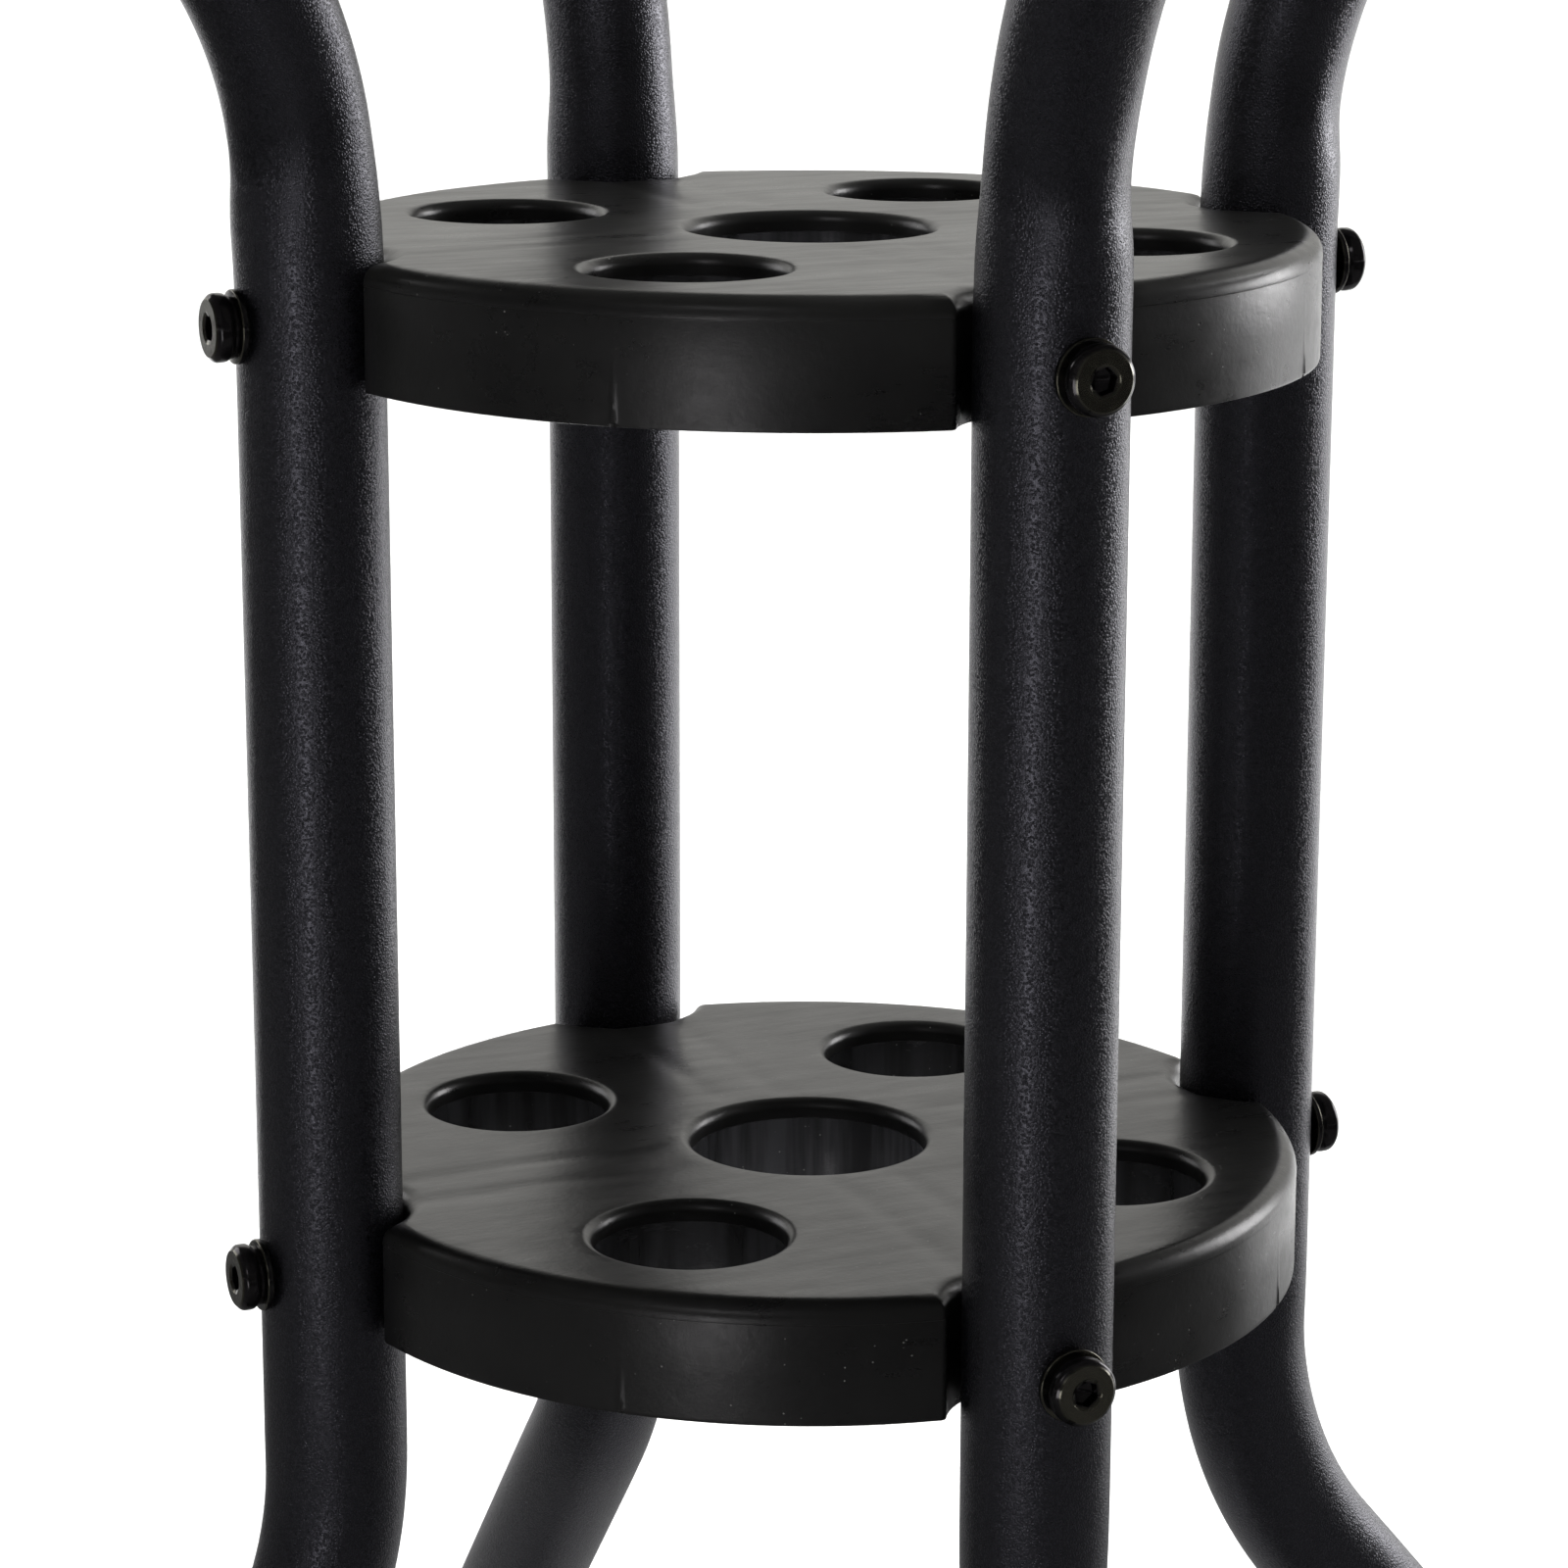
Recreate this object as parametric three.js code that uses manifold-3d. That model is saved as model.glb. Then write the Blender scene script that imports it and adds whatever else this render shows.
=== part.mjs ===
// Umbrella stand: four bent tube legs bolted round two moulded plates that hold the umbrellas.
// Millimetres, +Z up. The origin is on the floor, on the stand's centre line.
import * as THREE from 'three';
import { mergeVertices } from 'three/addons/utils/BufferGeometryUtils.js';
import Module from 'manifold-3d';

const CLEARANCE = 0.3; // gap left between pieces that touch

// Legs: round steel tube, upright between the plates and flared outwards at both ends.
const TUBE_RADIUS = 12.5;
const TUBE_WALL = 1.2;
const TUBE_BORE = TUBE_RADIUS - TUBE_WALL;
const LEG_PITCH_RADIUS = 91.3; // stand centre line to tube centre line, between the plates
const BEND_RADIUS = 80; // of the tube's centre line
const FLARE_ANGLE = THREE.MathUtils.degToRad(40); // of the flared ends, from upright
const TUBE_END_HEIGHT = 13; // centre of the tube's lower end above the floor

// Plates: moulded shells, open underneath.
const PLATE_RADIUS = 88.5;
const PLATE_THICKNESS = 21.5;
const PLATE_WALL = 2.5;
const EDGE_FILLET = 3.5;
const LOWER_PLATE_HEIGHT = 175; // underside above the floor
const PLATE_SPACING = 165.5; // from one plate's underside to the other's
const CENTRE_HOLE_RADIUS = 21.3;
const OUTER_HOLE_RADIUS = 16.7;
const OUTER_HOLE_PITCH_RADIUS = 57.5;
const HOLE_FILLET = 2;
const NOTCH_RADIUS = 16.5; // scallop that lets each leg into the rim
const NOTCH_FLOOR_RADIUS = 78.5; // nearest the scallop comes to the centre line
const RIB_THICKNESS = 2;
const RIB_LIFT = 4; // underside of the ribs above the plate's lower edge

// Where the legs bend, measured from the plates.
const UPPER_BEND_RISE = 9.5; // above the upper plate's top face
const LOWER_BEND_DROP = 25.5; // below the lower plate's underside

// Fasteners: M6 socket screws through the tubes into threaded inserts in the plates.
const SCREW_HEIGHT = 10; // screw axis above the plate's underside
const THREAD_RADIUS = 3;
const CLEARANCE_HOLE_RADIUS = THREAD_RADIUS + CLEARANCE;
const WASHER_RADIUS = 6.25;
const WASHER_THICKNESS = 1.2;
const HEAD_HEIGHT = 4.1;
const HEAD_FRONT_RADIUS = 5;
const HEAD_WIDEST_RADIUS = 5.75;
const HEAD_BASE_RADIUS = 5.2;
const SOCKET_ACROSS_CORNERS = 4.6;
const SOCKET_DEPTH = 2.4;
const SCREW_TIP_RADIUS = 68; // distance of the screw's tip from the centre line
const INSERT_RADIUS = 4.5;
const INSERT_INNER_END = 66.2;
const INSERT_OUTER_END = 78;
const BOSS_WIDTH = 14;
const BOSS_INNER_END = 62;
const BOSS_LIFT = 3; // underside of the boss above the plate's lower edge

// Ends of the legs.
const CAP_FLANGE = 2.5;
const CAP_DOME = 1.8;
const CAP_PLUG_LENGTH = 12;
const CAP_PLUG_BORE = 9;
const FOOT_SLEEVE_RADIUS = 15.5;
const FOOT_SLEEVE_LENGTH = 22;
const FOOT_PAD_RADIUS = 20;
const FOOT_PAD_HEIGHT = 7;

// Facets round each kind of circle.
const TUBE_SIDES = 20;
const BEND_STEPS = 6;
const PLATE_SIDES = 60;
const HOLE_SIDES = 24;
const SMALL_SIDES = 12;
const FILLET_STEPS = 2;

const SIDES = { right: 0, back: Math.PI / 2, left: Math.PI, front: -Math.PI / 2 };
const PLATE_UNDERSIDES = {
  upper: LOWER_PLATE_HEIGHT + PLATE_SPACING,
  lower: LOWER_PLATE_HEIGHT,
};

const FINISHES = {
  powder_coat: { color: 0x17181b, roughness: 0.5, metalness: 0.2 },
  plate_plastic: { color: 0x1c1d1f, roughness: 0.45, metalness: 0 },
  black_steel: { color: 0x0e0e0f, roughness: 0.3, metalness: 0.9 },
  insert_brass: { color: 0xa9863f, roughness: 0.35, metalness: 1 },
  cap_plastic: { color: 0x141414, roughness: 0.5, metalness: 0 },
  foot_rubber: { color: 0x101010, roughness: 0.85, metalness: 0 },
};

const wasm = await Module();
wasm.setup();

// ---- Solids and geometry ----

function toSolid(geometry) {
  const bare = geometry.clone();
  bare.deleteAttribute('normal');
  bare.deleteAttribute('uv');
  const merged = mergeVertices(bare, 1e-4);
  return new wasm.Manifold(
    new wasm.Mesh({
      numProp: 3,
      vertProperties: new Float32Array(merged.attributes.position.array),
      triVerts: new Uint32Array(merged.index.array),
    }),
  );
}

function toGeometry(solid) {
  const mesh = solid.getMesh();
  const indexed = new THREE.BufferGeometry();
  indexed.setAttribute('position', new THREE.BufferAttribute(mesh.vertProperties, 3));
  indexed.setIndex(new THREE.BufferAttribute(mesh.triVerts, 1));
  const faceted = indexed.toNonIndexed();
  faceted.computeVertexNormals();
  return faceted;
}

// A turned solid about +Z. The profile is a list of [radius, height] from the lower end to the upper.
function turned(profile, sides) {
  const points = profile.map(([radius, height]) => new THREE.Vector2(radius, height));
  return new THREE.LatheGeometry(points, sides).rotateX(Math.PI / 2);
}

function discProfile(radius, low, high) {
  return [[0, low], [radius, low], [radius, high], [0, high]];
}

// A ring's profile closes on itself.
function ringProfile(inner, outer, low, high) {
  return [[inner, low], [outer, low], [outer, high], [inner, high], [inner, low]];
}

// Turns a solid made about +Z so that it lies along +X.
function alongX(geometry) {
  return geometry.rotateY(Math.PI / 2);
}

function radialRod(radius, inner, outer, height) {
  return alongX(turned(discProfile(radius, inner, outer), SMALL_SIDES)).translate(0, 0, height);
}

function box(xLow, xHigh, width, zLow, zHigh) {
  const block = new THREE.BoxGeometry(xHigh - xLow, width, zHigh - zLow);
  return block.translate((xLow + xHigh) / 2, 0, (zLow + zHigh) / 2);
}

function joinAll(solids) {
  return solids.reduce((whole, piece) => whole.add(piece));
}

// ---- Legs ----

// Centre line of a leg in its own upright plane: +X points away from the stand's centre line.
const bendReach = BEND_RADIUS * (1 - Math.cos(FLARE_ANGLE));
const bendRise = BEND_RADIUS * Math.sin(FLARE_ANGLE);
const upperBendStart = PLATE_UNDERSIDES.upper + PLATE_THICKNESS + UPPER_BEND_RISE;
const lowerBendStart = PLATE_UNDERSIDES.lower - LOWER_BEND_DROP;
const flareRise = lowerBendStart - bendRise - TUBE_END_HEIGHT;
const flareReach = flareRise * Math.tan(FLARE_ANGLE);
const legEndRadius = LEG_PITCH_RADIUS + bendReach + flareReach;
const upperEndHeight = upperBendStart + bendRise + flareRise;

// Stations from the lower end to the upper one, each with its place and the tube's lean from upright.
function legStations() {
  const stations = [{ x: legEndRadius, z: TUBE_END_HEIGHT, lean: -FLARE_ANGLE }];
  const addBend = (start, end, height, upOrDown) => {
    for (let step = 0; step <= BEND_STEPS; step += 1) {
      const angle = start + ((end - start) * step) / BEND_STEPS;
      stations.push({
        x: LEG_PITCH_RADIUS + BEND_RADIUS * (1 - Math.cos(angle)),
        z: height + upOrDown * BEND_RADIUS * Math.sin(angle),
        lean: upOrDown * angle,
      });
    }
  };
  addBend(FLARE_ANGLE, 0, lowerBendStart, -1);
  addBend(0, FLARE_ANGLE, upperBendStart, 1);
  stations.push({ x: legEndRadius, z: upperEndHeight, lean: FLARE_ANGLE });
  return stations;
}

class LegLine extends THREE.Curve {
  constructor() {
    super();
    this.stations = legStations();
  }

  // Steps of an extrusion fall on the stations, not at equal lengths.
  getUtoTmapping(u) {
    return u;
  }

  between(t, value) {
    const place = t * (this.stations.length - 1);
    const first = Math.min(Math.floor(place + 1e-9), this.stations.length - 2);
    const share = place - first;
    return (1 - share) * value(this.stations[first]) + share * value(this.stations[first + 1]);
  }

  getPoint(t, target = new THREE.Vector3()) {
    return target.set(this.between(t, (s) => s.x), 0, this.between(t, (s) => s.z));
  }

  getTangent(t, target = new THREE.Vector3()) {
    const lean = this.between(t, (s) => s.lean);
    return target.set(Math.sin(lean), 0, Math.cos(lean));
  }
}

function tubeSection() {
  const section = new THREE.Shape().absarc(0, 0, TUBE_RADIUS, 0, 2 * Math.PI);
  section.holes.push(new THREE.Path().absarc(0, 0, TUBE_BORE, 0, 2 * Math.PI));
  return section;
}

function legGeometry() {
  const line = new LegLine();
  const tube = new THREE.ExtrudeGeometry(tubeSection(), {
    steps: line.stations.length - 1,
    curveSegments: TUBE_SIDES / 2, // a circle is drawn with two sides to each segment
    extrudePath: line,
  });
  const drill = (underside) =>
    toSolid(
      radialRod(
        CLEARANCE_HOLE_RADIUS,
        LEG_PITCH_RADIUS - 2 * TUBE_RADIUS,
        LEG_PITCH_RADIUS + 2 * TUBE_RADIUS,
        underside + SCREW_HEIGHT,
      ),
    );
  const drills = Object.values(PLATE_UNDERSIDES).map(drill);
  return toGeometry(toSolid(tube).subtract(joinAll(drills)));
}

// ---- Plates ----

// The upper edge of a disc, rounded over: points from the side wall to the top face.
function roundedEdge(radius, top, fillet, direction) {
  const points = [];
  for (let step = 0; step <= FILLET_STEPS; step += 1) {
    const angle = ((Math.PI / 2) * step) / FILLET_STEPS;
    points.push([
      radius + direction * fillet * (1 - Math.cos(angle)),
      top - fillet * (1 - Math.sin(angle)),
    ]);
  }
  return points;
}

// Cutter for an upright hole whose mouth in the top face is rounded over.
function holeCutter(radius, fillet, x = 0, y = 0) {
  const profile = [
    [0, -1],
    [radius, -1],
    ...roundedEdge(radius, PLATE_THICKNESS, fillet, 1),
    [radius + fillet, PLATE_THICKNESS + 1],
    [0, PLATE_THICKNESS + 1],
  ];
  return toSolid(turned(profile, HOLE_SIDES).translate(x, y, 0));
}

// A full-height post, which stays as the wall round a hole once the hole is cut.
function holeSleeve(radius, x = 0, y = 0) {
  const profile = discProfile(radius + PLATE_WALL, -2, PLATE_THICKNESS);
  return toSolid(turned(profile, HOLE_SIDES).translate(x, y, 0));
}

function turnedCopies(solid, count, firstAngle = 0) {
  const copies = [];
  for (let index = 0; index < count; index += 1) {
    copies.push(solid.rotate([0, 0, THREE.MathUtils.radToDeg(firstAngle) + (360 / count) * index]));
  }
  return joinAll(copies);
}

// Ribs and boss that run from one scallop to the centre hole's sleeve.
function scallopRibs() {
  const rib = (side) =>
    toSolid(
      box(CENTRE_HOLE_RADIUS, NOTCH_FLOOR_RADIUS, RIB_THICKNESS, RIB_LIFT, PLATE_THICKNESS)
        .translate(0, (side * (BOSS_WIDTH - RIB_THICKNESS)) / 2, 0),
    );
  const boss = toSolid(
    box(BOSS_INNER_END, NOTCH_FLOOR_RADIUS, BOSS_WIDTH, BOSS_LIFT, PLATE_THICKNESS),
  );
  return boss.add(rib(1)).add(rib(-1));
}

function plateGeometry() {
  const topSkin = PLATE_THICKNESS - PLATE_WALL;
  const disc = toSolid(
    turned(
      [
        [0, 0],
        [PLATE_RADIUS, 0],
        ...roundedEdge(PLATE_RADIUS, PLATE_THICKNESS, EDGE_FILLET, -1),
        [0, PLATE_THICKNESS],
      ],
      PLATE_SIDES,
    ),
  );
  const notchCentre = NOTCH_FLOOR_RADIUS + NOTCH_RADIUS;
  const quarter = Math.PI / 4;

  const outerSleeve = holeSleeve(OUTER_HOLE_RADIUS, OUTER_HOLE_PITCH_RADIUS);
  const rimRib = toSolid(
    box(
      OUTER_HOLE_PITCH_RADIUS + OUTER_HOLE_RADIUS,
      PLATE_RADIUS - 1,
      RIB_THICKNESS,
      RIB_LIFT,
      PLATE_THICKNESS,
    ),
  );
  const webs = joinAll([
    holeSleeve(CENTRE_HOLE_RADIUS),
    turnedCopies(outerSleeve.add(rimRib), 4, quarter),
    turnedCopies(holeSleeve(NOTCH_RADIUS, notchCentre).add(scallopRibs()), 4),
  ]);
  const cavity = toSolid(turned(discProfile(PLATE_RADIUS - PLATE_WALL, -1, topSkin), PLATE_SIDES));

  const insertBore = radialRod(
    INSERT_RADIUS + CLEARANCE,
    INSERT_INNER_END - CLEARANCE,
    NOTCH_FLOOR_RADIUS + PLATE_WALL,
    SCREW_HEIGHT,
  );
  const cuts = joinAll([
    holeCutter(CENTRE_HOLE_RADIUS, HOLE_FILLET),
    turnedCopies(holeCutter(OUTER_HOLE_RADIUS, HOLE_FILLET, OUTER_HOLE_PITCH_RADIUS), 4, quarter),
    turnedCopies(holeCutter(NOTCH_RADIUS, EDGE_FILLET, notchCentre).add(toSolid(insertBore)), 4),
  ]);
  return toGeometry(disc.subtract(cavity.subtract(webs)).subtract(cuts));
}

// ---- Fasteners, along +X, with the plate's underside at height 0 ----

const washerInner = LEG_PITCH_RADIUS + TUBE_RADIUS + CLEARANCE;
const headBase = washerInner + WASHER_THICKNESS + CLEARANCE;

function screwGeometry() {
  const headFront = headBase + HEAD_HEIGHT;
  const shape = turned(
    [
      [0, SCREW_TIP_RADIUS],
      [THREAD_RADIUS - 0.8, SCREW_TIP_RADIUS],
      [THREAD_RADIUS, SCREW_TIP_RADIUS + 1],
      [THREAD_RADIUS, headBase],
      [HEAD_BASE_RADIUS, headBase],
      [HEAD_WIDEST_RADIUS, headBase + 0.6 * HEAD_HEIGHT],
      [HEAD_WIDEST_RADIUS - 0.15, headBase + 0.85 * HEAD_HEIGHT],
      [HEAD_FRONT_RADIUS, headFront],
      [0, headFront],
    ],
    SMALL_SIDES,
  );
  const hexagon = discProfile(SOCKET_ACROSS_CORNERS / 2, headFront - SOCKET_DEPTH, headFront + 1);
  const screw = toSolid(shape).subtract(toSolid(turned(hexagon, 6)));
  return alongX(toGeometry(screw)).translate(0, 0, SCREW_HEIGHT);
}

function washerGeometry() {
  const washer = ringProfile(
    CLEARANCE_HOLE_RADIUS,
    WASHER_RADIUS,
    washerInner,
    washerInner + WASHER_THICKNESS,
  );
  return alongX(turned(washer, SMALL_SIDES)).translate(0, 0, SCREW_HEIGHT);
}

function insertGeometry() {
  const insert = ringProfile(
    CLEARANCE_HOLE_RADIUS,
    INSERT_RADIUS,
    INSERT_INNER_END,
    INSERT_OUTER_END,
  );
  return alongX(turned(insert, SMALL_SIDES)).translate(0, 0, SCREW_HEIGHT);
}

// ---- Ends of the legs ----

// Domed plug: its flange covers the tube's wall, and its hollow shank sits inside the tube.
function capGeometry() {
  const plugRadius = TUBE_BORE - CLEARANCE;
  const flangeTop = CLEARANCE + CAP_FLANGE;
  const cap = turned(
    [
      [0, CLEARANCE],
      [CAP_PLUG_BORE, CLEARANCE],
      [CAP_PLUG_BORE, -CAP_PLUG_LENGTH],
      [plugRadius, -CAP_PLUG_LENGTH],
      [plugRadius, CLEARANCE],
      [TUBE_RADIUS, CLEARANCE],
      [TUBE_RADIUS, flangeTop - 1],
      [TUBE_RADIUS - 1.2, flangeTop],
      [TUBE_RADIUS / 2, flangeTop + 0.75 * CAP_DOME],
      [0, flangeTop + CAP_DOME],
    ],
    TUBE_SIDES,
  );
  return cap.rotateY(FLARE_ANGLE).translate(legEndRadius, 0, upperEndHeight);
}

// Rubber foot: a sleeve round the leaning tube that grows out of a flat round pad on the floor.
function footGeometry() {
  const padCentre = legEndRadius + TUBE_END_HEIGHT * Math.tan(FLARE_ANGLE);
  const pad = turned(
    [
      [0, 0],
      [FOOT_PAD_RADIUS - 1.2, 0],
      [FOOT_PAD_RADIUS, 1.2],
      [FOOT_PAD_RADIUS, 0.5 * FOOT_PAD_HEIGHT],
      [FOOT_PAD_RADIUS - 3, FOOT_PAD_HEIGHT],
      [0, FOOT_PAD_HEIGHT],
    ],
    HOLE_SIDES,
  ).translate(padCentre, 0, 0);
  const alongTube = (profile) =>
    toSolid(
      turned(profile, TUBE_SIDES)
        .rotateY(-FLARE_ANGLE)
        .translate(legEndRadius, 0, TUBE_END_HEIGHT),
    );
  const sleeve = alongTube([
    [0, -2 * FOOT_PAD_RADIUS],
    [FOOT_SLEEVE_RADIUS, -2 * FOOT_PAD_RADIUS],
    [FOOT_SLEEVE_RADIUS, FOOT_SLEEVE_LENGTH - 1.5],
    [FOOT_SLEEVE_RADIUS - 1, FOOT_SLEEVE_LENGTH],
    [0, FOOT_SLEEVE_LENGTH],
  ]);
  const socket = alongTube(
    discProfile(TUBE_RADIUS + CLEARANCE, -CLEARANCE, FOOT_SLEEVE_LENGTH + 1),
  );
  const belowFloor = toSolid(
    box(0, 2 * legEndRadius, 4 * FOOT_PAD_RADIUS, -3 * FOOT_PAD_RADIUS, 0),
  );
  return toGeometry(sleeve.subtract(belowFloor).add(toSolid(pad)).subtract(socket));
}

// ---- Assembly ----

function piece(name, geometry, finish) {
  const mesh = new THREE.Mesh(geometry, new THREE.MeshStandardMaterial(FINISHES[finish]));
  mesh.name = name;
  return mesh;
}

const leg = legGeometry();
const plate = plateGeometry();
const screw = screwGeometry();
const washer = washerGeometry();
const insert = insertGeometry();
const cap = capGeometry();
const foot = footGeometry();

const stand = new THREE.Group();

for (const [level, underside] of Object.entries(PLATE_UNDERSIDES)) {
  const mesh = piece(`${level}_plate`, plate, 'plate_plastic');
  mesh.position.z = underside;
  stand.add(mesh);
}

for (const [side, bearing] of Object.entries(SIDES)) {
  const corner = new THREE.Group();
  corner.rotation.z = bearing;
  corner.add(
    piece(`leg_${side}`, leg, 'powder_coat'),
    piece(`top_cap_${side}`, cap, 'cap_plastic'),
    piece(`foot_${side}`, foot, 'foot_rubber'),
  );
  for (const [level, underside] of Object.entries(PLATE_UNDERSIDES)) {
    const joint = new THREE.Group();
    joint.position.z = underside;
    joint.add(
      piece(`${level}_screw_${side}`, screw, 'black_steel'),
      piece(`${level}_washer_${side}`, washer, 'black_steel'),
      piece(`${level}_insert_${side}`, insert, 'insert_brass'),
    );
    corner.add(joint);
  }
  stand.add(corner);
}

export default stand;
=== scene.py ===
"""Umbrella stand: fine surfaces, materials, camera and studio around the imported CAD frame.
Metres, +Z up."""

import math

import bmesh
import bpy
from mathutils import Matrix, Vector, geometry, noise


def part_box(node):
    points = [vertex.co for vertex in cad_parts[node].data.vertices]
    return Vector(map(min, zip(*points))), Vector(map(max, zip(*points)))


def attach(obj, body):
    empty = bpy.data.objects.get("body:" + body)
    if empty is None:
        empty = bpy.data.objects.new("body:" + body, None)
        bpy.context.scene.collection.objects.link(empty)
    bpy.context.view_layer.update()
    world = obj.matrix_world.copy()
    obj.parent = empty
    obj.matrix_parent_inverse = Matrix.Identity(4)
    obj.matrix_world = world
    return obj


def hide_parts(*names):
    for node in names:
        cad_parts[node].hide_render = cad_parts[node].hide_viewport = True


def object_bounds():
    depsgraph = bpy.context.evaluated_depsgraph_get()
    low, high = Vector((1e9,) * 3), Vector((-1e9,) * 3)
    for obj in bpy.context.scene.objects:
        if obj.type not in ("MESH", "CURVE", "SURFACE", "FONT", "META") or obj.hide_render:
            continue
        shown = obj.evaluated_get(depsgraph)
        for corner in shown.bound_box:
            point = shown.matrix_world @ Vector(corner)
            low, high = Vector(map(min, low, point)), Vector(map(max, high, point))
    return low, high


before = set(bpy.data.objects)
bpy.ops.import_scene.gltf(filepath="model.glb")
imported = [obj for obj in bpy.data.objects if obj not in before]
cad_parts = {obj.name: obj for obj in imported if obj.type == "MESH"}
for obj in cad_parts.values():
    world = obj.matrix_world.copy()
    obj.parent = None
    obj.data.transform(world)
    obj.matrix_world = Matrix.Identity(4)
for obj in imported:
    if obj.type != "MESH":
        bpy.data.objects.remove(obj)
cad_low, cad_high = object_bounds()

MM = 0.001
UP = Vector((0, 0, 1))

# ---- Sizes of the real pieces ----

TUBE_RADIUS = 12.5 * MM
TUBE_WALL = 1.2 * MM
BEND_RADIUS = 80 * MM
FLARE = math.radians(40)
UPPER_BEND_RISE = 9.5 * MM  # bend start above the upper plate's top face
LOWER_BEND_DROP = 25.5 * MM  # bend start below the lower plate's underside
TUBE_END_HEIGHT = 13 * MM

PLATE_RADIUS = 88.5 * MM
PLATE_WALL = 2.5 * MM
EDGE_FILLET = 3.5 * MM
CENTRE_HOLE_RADIUS = 21.3 * MM
OUTER_HOLE_RADIUS = 16.7 * MM
OUTER_HOLE_PITCH = 57.5 * MM
HOLE_FILLET = 2.0 * MM
NOTCH_RADIUS = 16.5 * MM
NOTCH_CENTRE = 95.0 * MM
NOTCH_CORNER = 1.2 * MM
RIB_THICKNESS = 2 * MM
RIB_LIFT = 4 * MM
RIB_OFFSET = 6 * MM  # of each rib of a pair from the line to the leg
BOSS_LIFT = 3 * MM
BOSS_INNER_END = 62 * MM
BOSS_WIDTH = 14 * MM

SCREW_HEIGHT = 10 * MM
THREAD_RADIUS = 3 * MM
BORE_RADIUS = 3.3 * MM
INSERT_BORE_RADIUS = 4.55 * MM
INSERT_INNER_END = 66.0 * MM
WASHER_RADIUS = 6.25 * MM
WASHER_THICKNESS = 1.2 * MM
HEAD_HEIGHT = 4.2 * MM
SCREW_TIP = 68 * MM

# ---- Places, from the frame ----

lower_low, lower_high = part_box("lower_plate")
upper_low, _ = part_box("upper_plate")
leg_low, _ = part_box("leg_right")
UNDERSIDES = {"lower": lower_low.z, "upper": upper_low.z}
THICKNESS = lower_high.z - lower_low.z
LEG_PITCH = leg_low.x + TUBE_RADIUS
BEARINGS = {"right": 0.0, "back": 90.0, "left": 180.0, "front": -90.0}
QUARTERS = (0, 90, 180, 270)


def turn(degrees):
    return Matrix.Rotation(math.radians(degrees), 4, "Z")


# ---- Camera ----

CAMERA_BEARING = math.radians(-24.552)  # 0 looks along +Y
CAMERA_DISTANCE = 0.8158  # from the stand's centre line
CAMERA_RISE = 0.28884  # above the lower plate's underside
CAMERA_PITCH = math.radians(13.880)
CAMERA_YAW = math.radians(-0.311)
CAMERA_ROLL = math.radians(0.080)
CAMERA_LENS = 108.08
SENSOR = 36.0


def make_camera():
    data = bpy.data.cameras.new("camera")
    data.lens = CAMERA_LENS
    data.sensor_width = SENSOR
    camera = bpy.data.objects.new("camera", data)
    bpy.context.scene.collection.objects.link(camera)
    height = UNDERSIDES["lower"] + CAMERA_RISE
    camera.location = (
        CAMERA_DISTANCE * math.sin(CAMERA_BEARING),
        -CAMERA_DISTANCE * math.cos(CAMERA_BEARING),
        height,
    )
    heading = Matrix.Rotation(CAMERA_BEARING - CAMERA_YAW, 4, "Z")
    tilt = Matrix.Rotation(math.pi / 2 - CAMERA_PITCH, 4, "X")
    roll = Matrix.Rotation(CAMERA_ROLL, 4, "Z")
    camera.rotation_mode = "QUATERNION"
    camera.rotation_quaternion = (heading @ tilt @ roll).to_quaternion()
    bpy.context.scene.camera = camera


# ---- Mesh helpers ----


def add_loops(bm, loops, wrap=False, end_cap=False):
    """Joins closed loops of points, all of one length, with quads. Returns the rows of vertices."""
    rows = [[bm.verts.new(point) for point in loop] for loop in loops]
    pairs = list(zip(rows, rows[1:]))
    if wrap:
        pairs.append((rows[-1], rows[0]))
    for low, high in pairs:
        count = len(low)
        for i in range(count):
            j = (i + 1) % count
            bm.faces.new((low[i], low[j], high[j], high[i]))
    if end_cap:
        bm.faces.new(rows[-1])
    return rows


def circle(radius, height, sides, placement=None):
    points = []
    for i in range(sides):
        angle = 2 * math.pi * i / sides
        points.append(Vector((radius * math.cos(angle), radius * math.sin(angle), height)))
    if placement is not None:
        points = [placement @ point for point in points]
    return points


def arc_profile(centre, radius, start, end, steps):
    """Points [radius, height] on an arc of a profile; angles in degrees."""
    points = []
    for i in range(steps + 1):
        angle = math.radians(start + (end - start) * i / steps)
        points.append((centre[0] + radius * math.cos(angle), centre[1] + radius * math.sin(angle)))
    return points


def rod_profile(radius, low, high):
    return [(0, low), (radius, low), (radius, high), (0, high)]


def turned(bm, profile, sides, placement, wrap=False):
    """A surface turned about the placement's Z axis; a profile end on the axis is closed."""
    loops = [circle(max(radius, 0), height, sides, placement) for radius, height in profile]
    if wrap:
        return add_loops(bm, loops, wrap=True)
    on_axis = [profile[0][0] < 1e-7, profile[-1][0] < 1e-7]
    inner = loops[(1 if on_axis[0] else 0):(-1 if on_axis[1] else None)]
    rows = add_loops(bm, inner)
    if on_axis[0]:
        tip = bm.verts.new(loops[0][0])
        for i in range(sides):
            bm.faces.new((tip, rows[0][(i + 1) % sides], rows[0][i]))
    if on_axis[1]:
        tip = bm.verts.new(loops[-1][0])
        for i in range(sides):
            bm.faces.new((rows[-1][i], rows[-1][(i + 1) % sides], tip))
    return rows


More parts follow.
